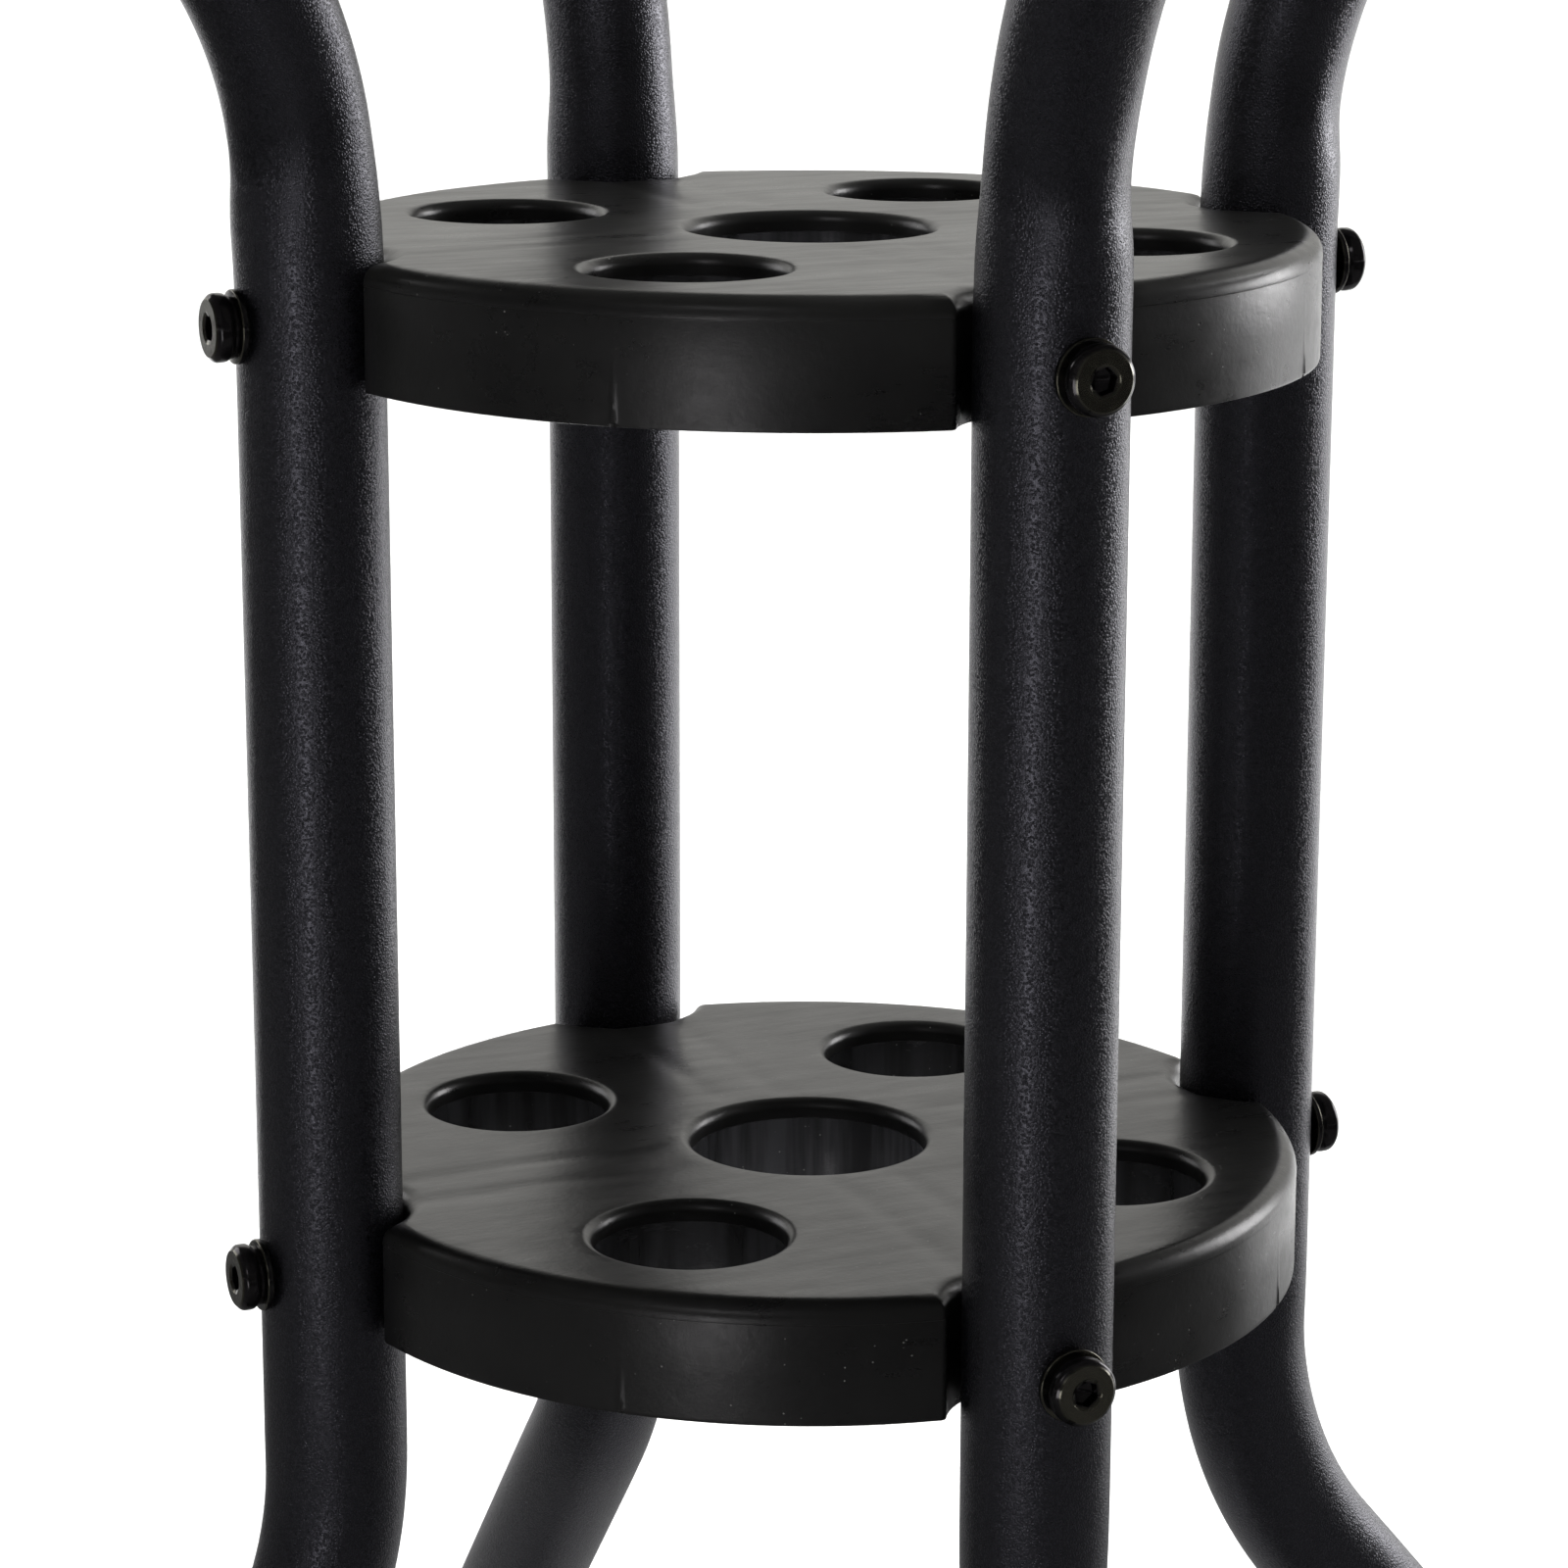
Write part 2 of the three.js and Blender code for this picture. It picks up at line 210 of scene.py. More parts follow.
def finish_mesh(bm, name, material, node, sharp=32.0):
    bmesh.ops.remove_doubles(bm, verts=bm.verts, dist=1e-7)
    bmesh.ops.recalc_face_normals(bm, faces=bm.faces)
    mesh = bpy.data.meshes.new(name)
    bm.to_mesh(mesh)
    bm.free()
    mesh.shade_smooth()
    mesh.set_sharp_from_angle(angle=math.radians(sharp))
    piece = bpy.data.objects.new(name, mesh)
    bpy.context.scene.collection.objects.link(piece)
    mesh.materials.append(material)
    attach(piece, "root")
    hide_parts(node)
    return piece


def apply_boolean(piece, cutter, operation):
    modifier = piece.modifiers.new("cut", "BOOLEAN")
    modifier.operation = operation
    modifier.solver = "MANIFOLD"
    modifier.object = cutter
    depsgraph = bpy.context.evaluated_depsgraph_get()
    made = bpy.data.meshes.new_from_object(piece.evaluated_get(depsgraph))
    piece.modifiers.remove(modifier)
    old = piece.data
    piece.data = made
    bpy.data.meshes.remove(old)
    made.name = piece.name
    used = cutter.data
    bpy.data.objects.remove(cutter)
    bpy.data.meshes.remove(used)


def tool_object(bm):
    """A temporary solid for a boolean."""
    bmesh.ops.recalc_face_normals(bm, faces=bm.faces)
    mesh = bpy.data.meshes.new("tool")
    bm.to_mesh(mesh)
    bm.free()
    tool = bpy.data.objects.new("tool", mesh)
    bpy.context.scene.collection.objects.link(tool)
    return tool


def radial_frame(bearing, height):
    """Placement whose Z axis points outwards along a leg's bearing, at a height."""
    return turn(bearing) @ Matrix.Translation((0, 0, height)) @ Matrix.Rotation(math.pi / 2, 4, "Y")


def store(mesh, name, values):
    """Keeps a number for each vertex, for a material to read."""
    layer = mesh.attributes.new(name, "FLOAT", "POINT")
    layer.data.foreach_set("value", values)


def smooth_step(value):
    value = min(max(value, 0.0), 1.0)
    return value * value * (3 - 2 * value)


def bell(value, centre, width):
    return math.exp(-(((value - centre) / width) ** 2))


# ---- Materials ----


def grey(value):
    return (value, value, value)


class Nodes:
    """Small builder for a node material."""

    def __init__(self, name, base_color, roughness, metallic=0.0, specular=0.5):
        self.material = bpy.data.materials.new(name)
        self.material.use_nodes = True
        self.tree = self.material.node_tree
        self.shader = self.tree.nodes["Principled BSDF"]
        self.shader.inputs["Base Color"].default_value = (*base_color, 1)
        self.shader.inputs["Roughness"].default_value = roughness
        self.shader.inputs["Metallic"].default_value = metallic
        self.shader.inputs["Specular IOR Level"].default_value = specular
        self.place = self.tree.nodes.new("ShaderNodeTexCoord").outputs["Object"]

    def link(self, output, target):
        self.tree.links.new(output, target)

    def stored(self, name):
        """A number kept on the mesh by store."""
        node = self.tree.nodes.new("ShaderNodeAttribute")
        node.attribute_name = name
        return node.outputs["Fac"]

    def noise(self, scale, detail=2.0, roughness=0.5, stretch=None):
        node = self.tree.nodes.new("ShaderNodeTexNoise")
        node.inputs["Scale"].default_value = scale
        node.inputs["Detail"].default_value = detail
        node.inputs["Roughness"].default_value = roughness
        source = self.place if stretch is None else self.stretched(stretch)
        self.link(source, node.inputs["Vector"])
        return node.outputs["Fac"]

    def stretched(self, factors):
        node = self.tree.nodes.new("ShaderNodeMapping")
        node.inputs["Scale"].default_value = factors
        self.link(self.place, node.inputs["Vector"])
        return node.outputs["Vector"]

    def ramp(self, source, low, high, low_value, high_value):
        node = self.tree.nodes.new("ShaderNodeMapRange")
        node.inputs["From Min"].default_value = low
        node.inputs["From Max"].default_value = high
        node.inputs["To Min"].default_value = low_value
        node.inputs["To Max"].default_value = high_value
        self.link(source, node.inputs["Value"])
        return node.outputs["Result"]

    def math(self, operation, first, second):
        node = self.tree.nodes.new("ShaderNodeMath")
        node.operation = operation
        for socket, value in zip(node.inputs, (first, second)):
            if isinstance(value, (int, float)):
                socket.default_value = value
            else:
                self.link(value, socket)
        return node.outputs["Value"]

    def mix_color(self, factor, first, second):
        node = self.tree.nodes.new("ShaderNodeMix")
        node.data_type = "RGBA"
        self.link(factor, node.inputs["Factor"])
        for name, value in (("A", first), ("B", second)):
            socket = [s for s in node.inputs if s.name == name and s.type == "RGBA"][0]
            if isinstance(value, tuple):
                socket.default_value = (*value, 1)
            else:
                self.link(value, socket)
        return [s for s in node.outputs if s.type == "RGBA"][0]

    def bump(self, height, distance, strength=1.0, below=None):
        node = self.tree.nodes.new("ShaderNodeBump")
        node.inputs["Distance"].default_value = distance
        node.inputs["Strength"].default_value = strength
        self.link(height, node.inputs["Height"])
        if below is not None:
            self.link(below, node.inputs["Normal"])
        return node.outputs["Normal"]

    def cells(self, scale):
        """Scattered points: the distance from the nearest, and a colour of its own for each."""
        node = self.tree.nodes.new("ShaderNodeTexVoronoi")
        node.inputs["Scale"].default_value = scale
        self.link(self.place, node.inputs["Vector"])
        return node.outputs["Distance"], node.outputs["Color"]

    def specks(self, scale, size):
        """1 on small scattered specks of uneven size, 0 elsewhere."""
        distance, color = self.cells(scale)
        odds = self.ramp(color, 0.5, 0.75, size, 0)
        ragged = self.math("MULTIPLY", self.noise(scale * 5, 1.0), size * 0.4)
        near = self.math("ADD", distance, self.math("ADD", odds, ragged))
        near = self.ramp(near, size, size * 0.8, 0, 1)
        patches = self.ramp(self.noise(scale * 0.09, 3.0), 0.47, 0.56, 0, 1)
        return self.math("MULTIPLY", near, patches)


def powder_coat():
    """Satin black powder coat: a fine skin of small domes with a little blue in its shine, and
    painted shade that darkens the hollows between the domes.
    """
    m = Nodes("powder_coat", (0.005, 0.005, 0.006), 0.3, specular=0.75)
    m.shader.inputs["Specular Tint"].default_value = (0.87, 0.85, 1.0, 1)
    domes, _ = m.cells(2300)
    grit = m.noise(3400, 2.0, 0.6)
    rolling = m.bump(m.noise(700, 1.0), 0.03 * MM, 1.0)
    domed = m.bump(m.ramp(domes, 0.05, 0.6, 1, 0), 0.065 * MM, 1.0, below=rolling)
    m.link(m.bump(grit, 0.03 * MM, 1.0, below=domed), m.shader.inputs["Normal"])
    m.link(m.ramp(grit, 0.3, 0.7, 0.24, 0.36), m.shader.inputs["Roughness"])
    # Painted shade: the base colour is lighter on the domes' crowns and darker in the hollows
    # between them.
    hollow_shade = m.ramp(domes, 0.2, 0.7, 0, 1)
    coat_with_hollow_shade = m.mix_color(hollow_shade, (0.007, 0.007, 0.0085), (0.003, 0.003, 0.0035))
    m.link(coat_with_hollow_shade, m.shader.inputs["Base Color"])
    return m.material


def plate_plastic():
    """Black moulded plastic: satin outside, glossier in the hole walls, where pale vertical streaks
    are a painted sheen, with cloudy flow marks, fine scratches and specks of dust."""
    m = Nodes("plate_plastic", grey(0.012), 0.30, specular=0.42)
    m.shader.inputs["Specular Tint"].default_value = (1.0, 0.975, 1.0, 1)
    polish_and_sheen = m.stored("polish_and_sheen")
    clouds = m.noise(30, 5.0, 0.62)
    grain = m.noise(900, 4.0, 0.65)
    grooves = m.math("MULTIPLY", m.noise(500, 2.0, 0.5, stretch=(1, 1, 14)), polish_and_sheen)
    scratches = m.ramp(m.noise(150, 6.0, 0.75, stretch=(9, 1, 0.6)), 0.69, 0.77, 0, 1)
    specks = m.specks(700, 0.15)
    streaks = m.noise(40, 5.0, 0.7, stretch=(1, 7, 7))
    rough = m.math("ADD", m.ramp(clouds, 0.3, 0.7, 0.25, 0.32), m.math("MULTIPLY", scratches, 0.03))
    rough = m.math("ADD", rough, m.ramp(streaks, 0.3, 0.7, -0.02, 0.07))
    rough = m.math("ADD", rough, m.math("MULTIPLY", specks, 0.12))
    rough = m.math("SUBTRACT", rough, m.math("MULTIPLY", polish_and_sheen, 0.14))
    m.link(rough, m.shader.inputs["Roughness"])
    cloudy = m.mix_color(m.ramp(clouds, 0.3, 0.7, 0, 1), grey(0.004), (0.009, 0.009, 0.0085))
    # Painted sheen: pale vertical streaks in the hole walls' colour stand in for reflected light;
    # the walls' lower roughness is real polish.
    sheen_bands = m.ramp(m.noise(60, 3.0, 0.6, stretch=(4, 4, 0.3)), 0.38, 0.62, 0.25, 1.0)
    wall_sheen = m.math("MULTIPLY", sheen_bands, polish_and_sheen)
    lightened = m.mix_color(wall_sheen, cloudy, (0.052, 0.052, 0.057))
    scuffed = m.mix_color(scratches, lightened, (0.035, 0.035, 0.034))
    m.link(m.mix_color(specks, scuffed, (0.14, 0.14, 0.135)), m.shader.inputs["Base Color"])
    mottle = m.bump(m.noise(230, 4.0, 0.6), 0.03 * MM, 1.0)
    mottle = m.bump(streaks, 0.035 * MM, 1.0, below=mottle)
    waves = m.bump(clouds, 0.12 * MM, 0.6, below=mottle)
    turned_walls = m.bump(grooves, 0.035 * MM, 1.0, below=waves)
    fine = m.bump(grain, 0.03 * MM, 1.0, below=turned_walls)
    m.link(m.bump(scratches, 0.01 * MM, 0.5, below=fine), m.shader.inputs["Normal"])
    return m.material


def black_steel():
    """Black oxide on steel, lightly oiled: near black, olive where the finish has rubbed thin on
    the heads' faces; the same olive round the washers' rims is a painted highlight.
    """
    m = Nodes("black_steel", (0.13, 0.125, 0.11), 0.2, metallic=0.95)
    patches = m.noise(500, 3.0, 0.5)
    # The lightened colour is real wear on the heads' faces and a painted highlight on the washers'
    # rims.
    lightened = m.math("MULTIPLY", m.stored("wear_and_rim_highlight"), m.ramp(patches, 0.3, 0.7, 0.75, 1.0))
    m.link(m.ramp(patches, 0.3, 0.7, 0.12, 0.22), m.shader.inputs["Roughness"])
    finish = m.mix_color(lightened, (0.036, 0.034, 0.036), (0.10, 0.096, 0.076))
    m.link(finish, m.shader.inputs["Base Color"])
    m.link(m.bump(m.noise(2400, 3.0), 0.004 * MM, 1.0), m.shader.inputs["Normal"])
    return m.material


def brass():
    m = Nodes("insert_brass", (0.62, 0.45, 0.18), 0.3, metallic=1.0)
    tarnish = m.noise(500, 4.0)
    m.link(m.ramp(tarnish, 0.3, 0.7, 0.22, 0.42), m.shader.inputs["Roughness"])
    dull = m.mix_color(m.ramp(tarnish, 0.4, 0.7, 0, 1), (0.62, 0.45, 0.18), (0.40, 0.29, 0.13))
    m.link(dull, m.shader.inputs["Base Color"])
    m.link(m.bump(m.noise(1800, 2.0, stretch=(1, 1, 6)), 0.03 * MM, 0.4), m.shader.inputs["Normal"])
    return m.material


def cap_plastic():
    m = Nodes("cap_plastic", grey(0.014), 0.4)
    texture = m.noise(1100, 3.0, 0.6)
    m.link(m.ramp(m.noise(80, 4.0), 0.3, 0.7, 0.34, 0.46), m.shader.inputs["Roughness"])
    m.link(m.bump(texture, 0.05 * MM, 0.6), m.shader.inputs["Normal"])
    shade = m.mix_color(m.ramp(texture, 0.3, 0.7, 0, 1), grey(0.011), grey(0.018))
    m.link(shade, m.shader.inputs["Base Color"])
    return m.material


def foot_rubber():
    m = Nodes("foot_rubber", grey(0.016), 0.7)
    texture = m.noise(900, 4.0, 0.65)
    scuffs = m.noise(120, 5.0, 0.7)
    m.link(m.ramp(scuffs, 0.3, 0.7, 0.58, 0.82), m.shader.inputs["Roughness"])
    m.link(m.bump(texture, 0.08 * MM, 0.6), m.shader.inputs["Normal"])
    dusty = m.mix_color(m.ramp(scuffs, 0.5, 0.8, 0, 1), grey(0.013), (0.045, 0.044, 0.042))
    m.link(dusty, m.shader.inputs["Base Color"])
    return m.material


def floor_paint():
    m = Nodes("floor_paint", grey(0.92), 0.7, specular=0.2)
    m.link(m.ramp(m.noise(3, 4.0), 0.3, 0.7, 0.66, 0.74), m.shader.inputs["Roughness"])
    return m.material


# ---- Legs ----

LEG_SIDES = 96
RING_SPACING = 2.0 * MM
INNER_SPACING = 5  # one inner ring for so many outer ones
BORE_SIDES = 24
THINNING = {"upper": 0.75 * MM, "lower": 0.15 * MM}  # of the tube's radius in the bends
THIN_LEAD = 6 * MM  # where it begins before the bend, and over what length it grows
THIN_GROWTH = 16 * MM
THIN_TAIL = 12 * MM  # where it is over past the bend, and over what length it fades
THIN_FADE = 24 * MM
PRESS_DEPTH = {"upper": 0.55 * MM, "lower": 0.30 * MM}
PRESS_AT = 8 * MM  # middle of the tool's marks past the start of a bend, and their half length
PRESS_LENGTH = 12 * MM
SPLAY = {"upper": 0.5 * MM, "lower": 0.0}  # outwards, reached where the bend starts
SPLAY_LEAD = 18 * MM  # where it begins before the bend, and over what length it grows
SPLAY_LENGTH = 20 * MM
LEAN = {"back": 0.3 * MM}  # sideways, to the right, for each plate spacing of height
# The pressed flats, the ridges beside them and the crest between them, from the inside of a bend.
FLAT_AT = math.radians(48)
FLAT_WIDTH = math.radians(24)
RIDGE_AT = math.radians(80)
RIDGE_WIDTH = math.radians(13)
RIDGE_SHARE = 0.16  # of the flats' depth
CREST_WIDTH = math.radians(22)
CREST_SHARE = 0.7


def leg_line():
    """Places along a leg's centre line from the foot up: (x, z, lean, thinner, press), x outwards;
    lean is from upright, thinner is off the radius, press is the depth of the tool's marks."""
    bend_rise = BEND_RADIUS * math.sin(FLARE)
    bend_length = BEND_RADIUS * FLARE
    upper_start = UNDERSIDES["upper"] + THICKNESS + UPPER_BEND_RISE
    lower_start = UNDERSIDES["lower"] - LOWER_BEND_DROP
    flare_length = (lower_start - bend_rise - TUBE_END_HEIGHT) / math.cos(FLARE)

    def flared(distance):
        """Reach, rise and lean at a distance past the start of a bend."""
        angle = min(max(distance / BEND_RADIUS, 0.0), FLARE)
        past = max(distance - bend_length, 0.0)
        reach = BEND_RADIUS * (1 - math.cos(angle)) + past * math.sin(FLARE)
        rise = BEND_RADIUS * math.sin(angle) + past * math.cos(FLARE)
        return reach, rise + min(distance, 0.0), angle

    middle = (upper_start - lower_start) / 2
    total = middle + bend_length + flare_length
    steps = round(total / RING_SPACING)
    halves = []
    for side, start, sign in (("lower", lower_start, -1), ("upper", upper_start, 1)):
        half = []
        for i in range(steps + 1):
            distance = total * i / steps - middle
            reach, rise, lean = flared(distance)
            fade = smooth_step((distance + THIN_LEAD) / THIN_GROWTH)
            fade *= smooth_step((bend_length + THIN_TAIL - distance) / THIN_FADE)
            press = PRESS_DEPTH[side] * bell(distance, PRESS_AT, PRESS_LENGTH)
            thinner = THINNING[side] * fade
            reach += SPLAY[side] * smooth_step((distance + SPLAY_LEAD) / SPLAY_LENGTH)
            half.append((LEG_PITCH + reach, start + sign * rise, sign * lean, thinner, press))
        halves.append(half)
    return list(reversed(halves[0])) + halves[1][1:]


def leg_ring(place, wall):
    """The tube's section at a place. In a bend it is drawn thinner, and the bending tool has
    pressed two flats beside the inside of the bend, each with a low ridge along its edge."""
    x, z, lean, thinner, press = place
    outward = Vector((math.cos(lean), 0, -math.sin(lean)))
    points = []
    for i in range(LEG_SIDES):
        angle = 2 * math.pi * i / LEG_SIDES
        from_inside = abs((angle + math.pi) % (2 * math.pi) - math.pi)
        mark = RIDGE_SHARE * bell(from_inside, RIDGE_AT, RIDGE_WIDTH)
        mark -= bell(from_inside, FLAT_AT, FLAT_WIDTH)
        mark += CREST_SHARE * bell(from_inside, 0, CREST_WIDTH)
        radius = TUBE_RADIUS - wall - thinner + press * mark
        out = outward * (math.cos(angle) * radius)
        points.append(Vector((x, 0, z)) + out + Vector((0, math.sin(angle) * radius, 0)))
    return points


def lean_over(piece, side):
    """Leans a leg, or what is fixed to its end, by the play in its screw holes."""
    shear = LEAN.get(side, 0.0) / (UNDERSIDES["upper"] - UNDERSIDES["lower"])
    for vert in piece.data.vertices:
        vert.co.x += shear * max(vert.co.z - UNDERSIDES["lower"], 0.0)


def make_leg(side, bearing, material):
    places = leg_line()
    sparse = places[::INNER_SPACING]
    if sparse[-1] is not places[-1]:
        sparse.append(places[-1])
    bm = bmesh.new()
    outer = [leg_ring(place, 0.0) for place in places]
    inner = [leg_ring(place, TUBE_WALL) for place in reversed(sparse)]
    add_loops(bm, outer + inner, wrap=True)
    bmesh.ops.transform(bm, matrix=turn(bearing), verts=bm.verts)
    leg = finish_mesh(bm, f"tube_{side}", material, f"leg_{side}")

    drills = bmesh.new()
    for underside in UNDERSIDES.values():
        placement = radial_frame(bearing, underside + SCREW_HEIGHT)
        start, end = LEG_PITCH - 2 * TUBE_RADIUS, LEG_PITCH + 2 * TUBE_RADIUS
        turned(drills, rod_profile(BORE_RADIUS, start, end), BORE_SIDES, placement)
    apply_boolean(leg, tool_object(drills), "DIFFERENCE")
    lean_over(leg, side)
    leg.data.shade_smooth()
    leg.data.set_sharp_from_angle(angle=math.radians(40))
    return leg


# ---- Plates ----

RIM_STEPS = 60  # along each quarter of the rim
CORNER_STEPS = 6
NOTCH_STEPS = 28
FILLET_STEPS = 7
CENTRE_SIDES = 96
OUTER_SIDES = 80
SEAM_DROP = 3.9 * MM  # parting line below the top face
SEAM_STEP = 0.12 * MM
LIP_DROP = 3.6 * MM  # height of a hole's lip; the wall below it stands back
LIP_STEP = 0.30 * MM
SCAR_RISE = 8.5 * MM  # raised gate scar up the rim, half-way between two legs
SCAR_DEPTH = 0.35 * MM
SCAR_WIDTH = 0.35 * MM
TOP_GRID = 2.0 * MM
GRID_ROWS = 0.866  # of the grid's spacing
RIB_SINK = 0.22 * MM  # depth of the sink marks over ribs and bosses, and their half widths
RIB_SINK_WIDTH = 2.2 * MM
BOSS_SINK = 0.12 * MM
BOSS_SINK_WIDTH = 9 * MM
RIB_SINK_START = 22 * MM  # their ends, out from the plate's centre
RIB_SINK_END = 84 * MM
RIB_SINK_FADE = 8 * MM
BOSS_SINK_START = 56 * MM
BOSS_SINK_FADE = 12 * MM
SLOW_SINK = 0.12 * MM  # depth and length of the top face's long waves, then its short ones
SLOW_LENGTH = 38 * MM
QUICK_SINK = 0.03 * MM
QUICK_LENGTH = 12 * MM
INSERT_BORE_SIDES = 32
OUTER_POLISH_AND_SHEEN = 0.5  # of the outer holes' walls, for 1 in the centre hole


def angle_between(side_a, side_b, opposite):
    """Angle between two sides of a triangle, from the lengths of all three."""
    return math.acos((side_a**2 + side_b**2 - opposite**2) / (2 * side_a * side_b))


def rim_outline(inset, height, scar=0.0):
    """The plate's outline with its four scallops, moved inwards by inset, as points at a height.
    A scar stands out from the rim half-way between two legs."""
    corner = max(NOTCH_CORNER - inset, 0.0)
    rim = PLATE_RADIUS - inset
    notch = NOTCH_RADIUS + inset
    reach = rim - corner
    turn_angle = angle_between(reach, NOTCH_CENTRE, notch + corner)
    centre = Vector((reach * math.cos(turn_angle), reach * math.sin(turn_angle), 0))
    notch_angle = math.pi - angle_between(NOTCH_CENTRE, notch + corner, reach)
    quarter = []
    for i in range(NOTCH_STEPS + 1):  # half of the scallop on each side of the bearing
        angle = math.pi + (math.pi - notch_angle) * (1 - 2 * i / NOTCH_STEPS)
        quarter.append(Vector((NOTCH_CENTRE + notch * math.cos(angle), notch * math.sin(angle), 0)))
    for i in range(1, CORNER_STEPS + 1):
        start, end = notch_angle - math.pi, turn_angle
        angle = start + (end - start) * i / CORNER_STEPS
        quarter.append(centre + Vector((corner * math.cos(angle), corner * math.sin(angle), 0)))
    for i in range(1, RIM_STEPS):
        share = i / RIM_STEPS
        # Points crowd towards the middle, where the gate scar is.
        share = 0.5 + (share - 0.5) * (0.25 + 3 * (share - 0.5) ** 2)
        angle = turn_angle + (math.pi / 2 - 2 * turn_angle) * share
        out = rim + scar * bell(angle, math.pi / 4, SCAR_WIDTH / PLATE_RADIUS)
        quarter.append(Vector((out * math.cos(angle), out * math.sin(angle), 0)))
    for i in range(CORNER_STEPS):
        start, end = math.pi / 2 - turn_angle, math.pi / 2 + math.pi - notch_angle
        angle = start + (end - start) * i / CORNER_STEPS
        mirrored = Vector((centre.y, centre.x, 0))
        quarter.append(mirrored + Vector((corner * math.cos(angle), corner * math.sin(angle), 0)))
    points = []
    for step in range(4):
        points += [turn(90 * step) @ point for point in quarter]
    return [point + UP * height for point in points]


def fillet_steps(radius):
    """(inset, drop) down a rounded edge, from the top face to the wall."""
    steps = []
    for i in range(FILLET_STEPS + 1):
        angle = math.pi / 2 * i / FILLET_STEPS
        steps.append((radius * (1 - math.sin(angle)), radius * (1 - math.cos(angle))))
    return steps


def sink(x, y):
    """How far the top face has sunk over the ribs and bosses below it."""
    depth = 0.0
    for bearing in QUARTERS:
        local = turn(-bearing) @ Vector((x, y, 0))
        span = smooth_step((local.x - RIB_SINK_START) / RIB_SINK_FADE)
        span *= smooth_step((RIB_SINK_END - local.x) / RIB_SINK_FADE)
        for side in (-1, 1):
            depth += RIB_SINK * span * bell(local.y, side * RIB_OFFSET, RIB_SINK_WIDTH)
        boss = bell(local.y, 0, BOSS_SINK_WIDTH)
        boss *= smooth_step((local.x - BOSS_SINK_START) / BOSS_SINK_FADE)
        depth += BOSS_SINK * boss
    slow = noise.noise(Vector((x, y, 0)) / SLOW_LENGTH)
    quick = noise.noise(Vector((x, y, 3)) / QUICK_LENGTH)
    return depth + SLOW_SINK * slow + QUICK_SINK * quick


def fill_between(bm, rows, height, grid, keep):
    """Triangulates the flat face between closed rows of vertices, with grid points where keep
    is true."""
    verts = [vert for row in rows for vert in row]
    points = [Vector((vert.co.x, vert.co.y)) for vert in verts]
    edges, first = [], 0
    for row in rows:
        count = len(row)
        edges += [(first + i, first + (i + 1) % count) for i in range(count)]
        first += count
    if grid:
        count = int(PLATE_RADIUS / grid) + 1
        for i in range(-count, count + 1):
            for j in range(-count, count + 1):
                x, y = (i + 0.5 * (j % 2)) * grid, j * grid * GRID_ROWS
                if keep(x, y, grid * 0.55):
                    points.append(Vector((x, y)))
    result = geometry.delaunay_2d_cdt(points, edges, [], 0, 1e-9)
    places, triangles, sources = result[0], result[2], result[3]
    made = []
    for place, source in zip(places, sources):
        boundary = [index for index in source if index < len(verts)]
        if boundary:
            made.append(verts[boundary[0]])
        else:
            made.append(bm.verts.new((place.x, place.y, height)))
    for triangle in triangles:
        middle = sum((places[i] for i in triangle), Vector((0, 0))) / 3
        if keep(middle.x, middle.y, 0.0) and len({made[i] for i in triangle}) == 3:
            bm.faces.new([made[i] for i in triangle])
    return made


def plate_region(rim_inset, hole_growth):
    """A test for points between the rim's outline and the holes, each moved by a margin."""
    holes = [(centre.x, centre.y, radius) for centre, radius, _ in hole_list()]

    def inside(x, y, margin):
        if math.hypot(x, y) > PLATE_RADIUS - rim_inset - margin:
            return False
        for bearing in QUARTERS:
            centre = turn(bearing) @ Vector((NOTCH_CENTRE, 0, 0))
            if math.hypot(x - centre.x, y - centre.y) < NOTCH_RADIUS + rim_inset + margin:
                return False
        return all(math.hypot(x - a, y - b) > r + hole_growth + margin for a, b, r in holes)

    return inside


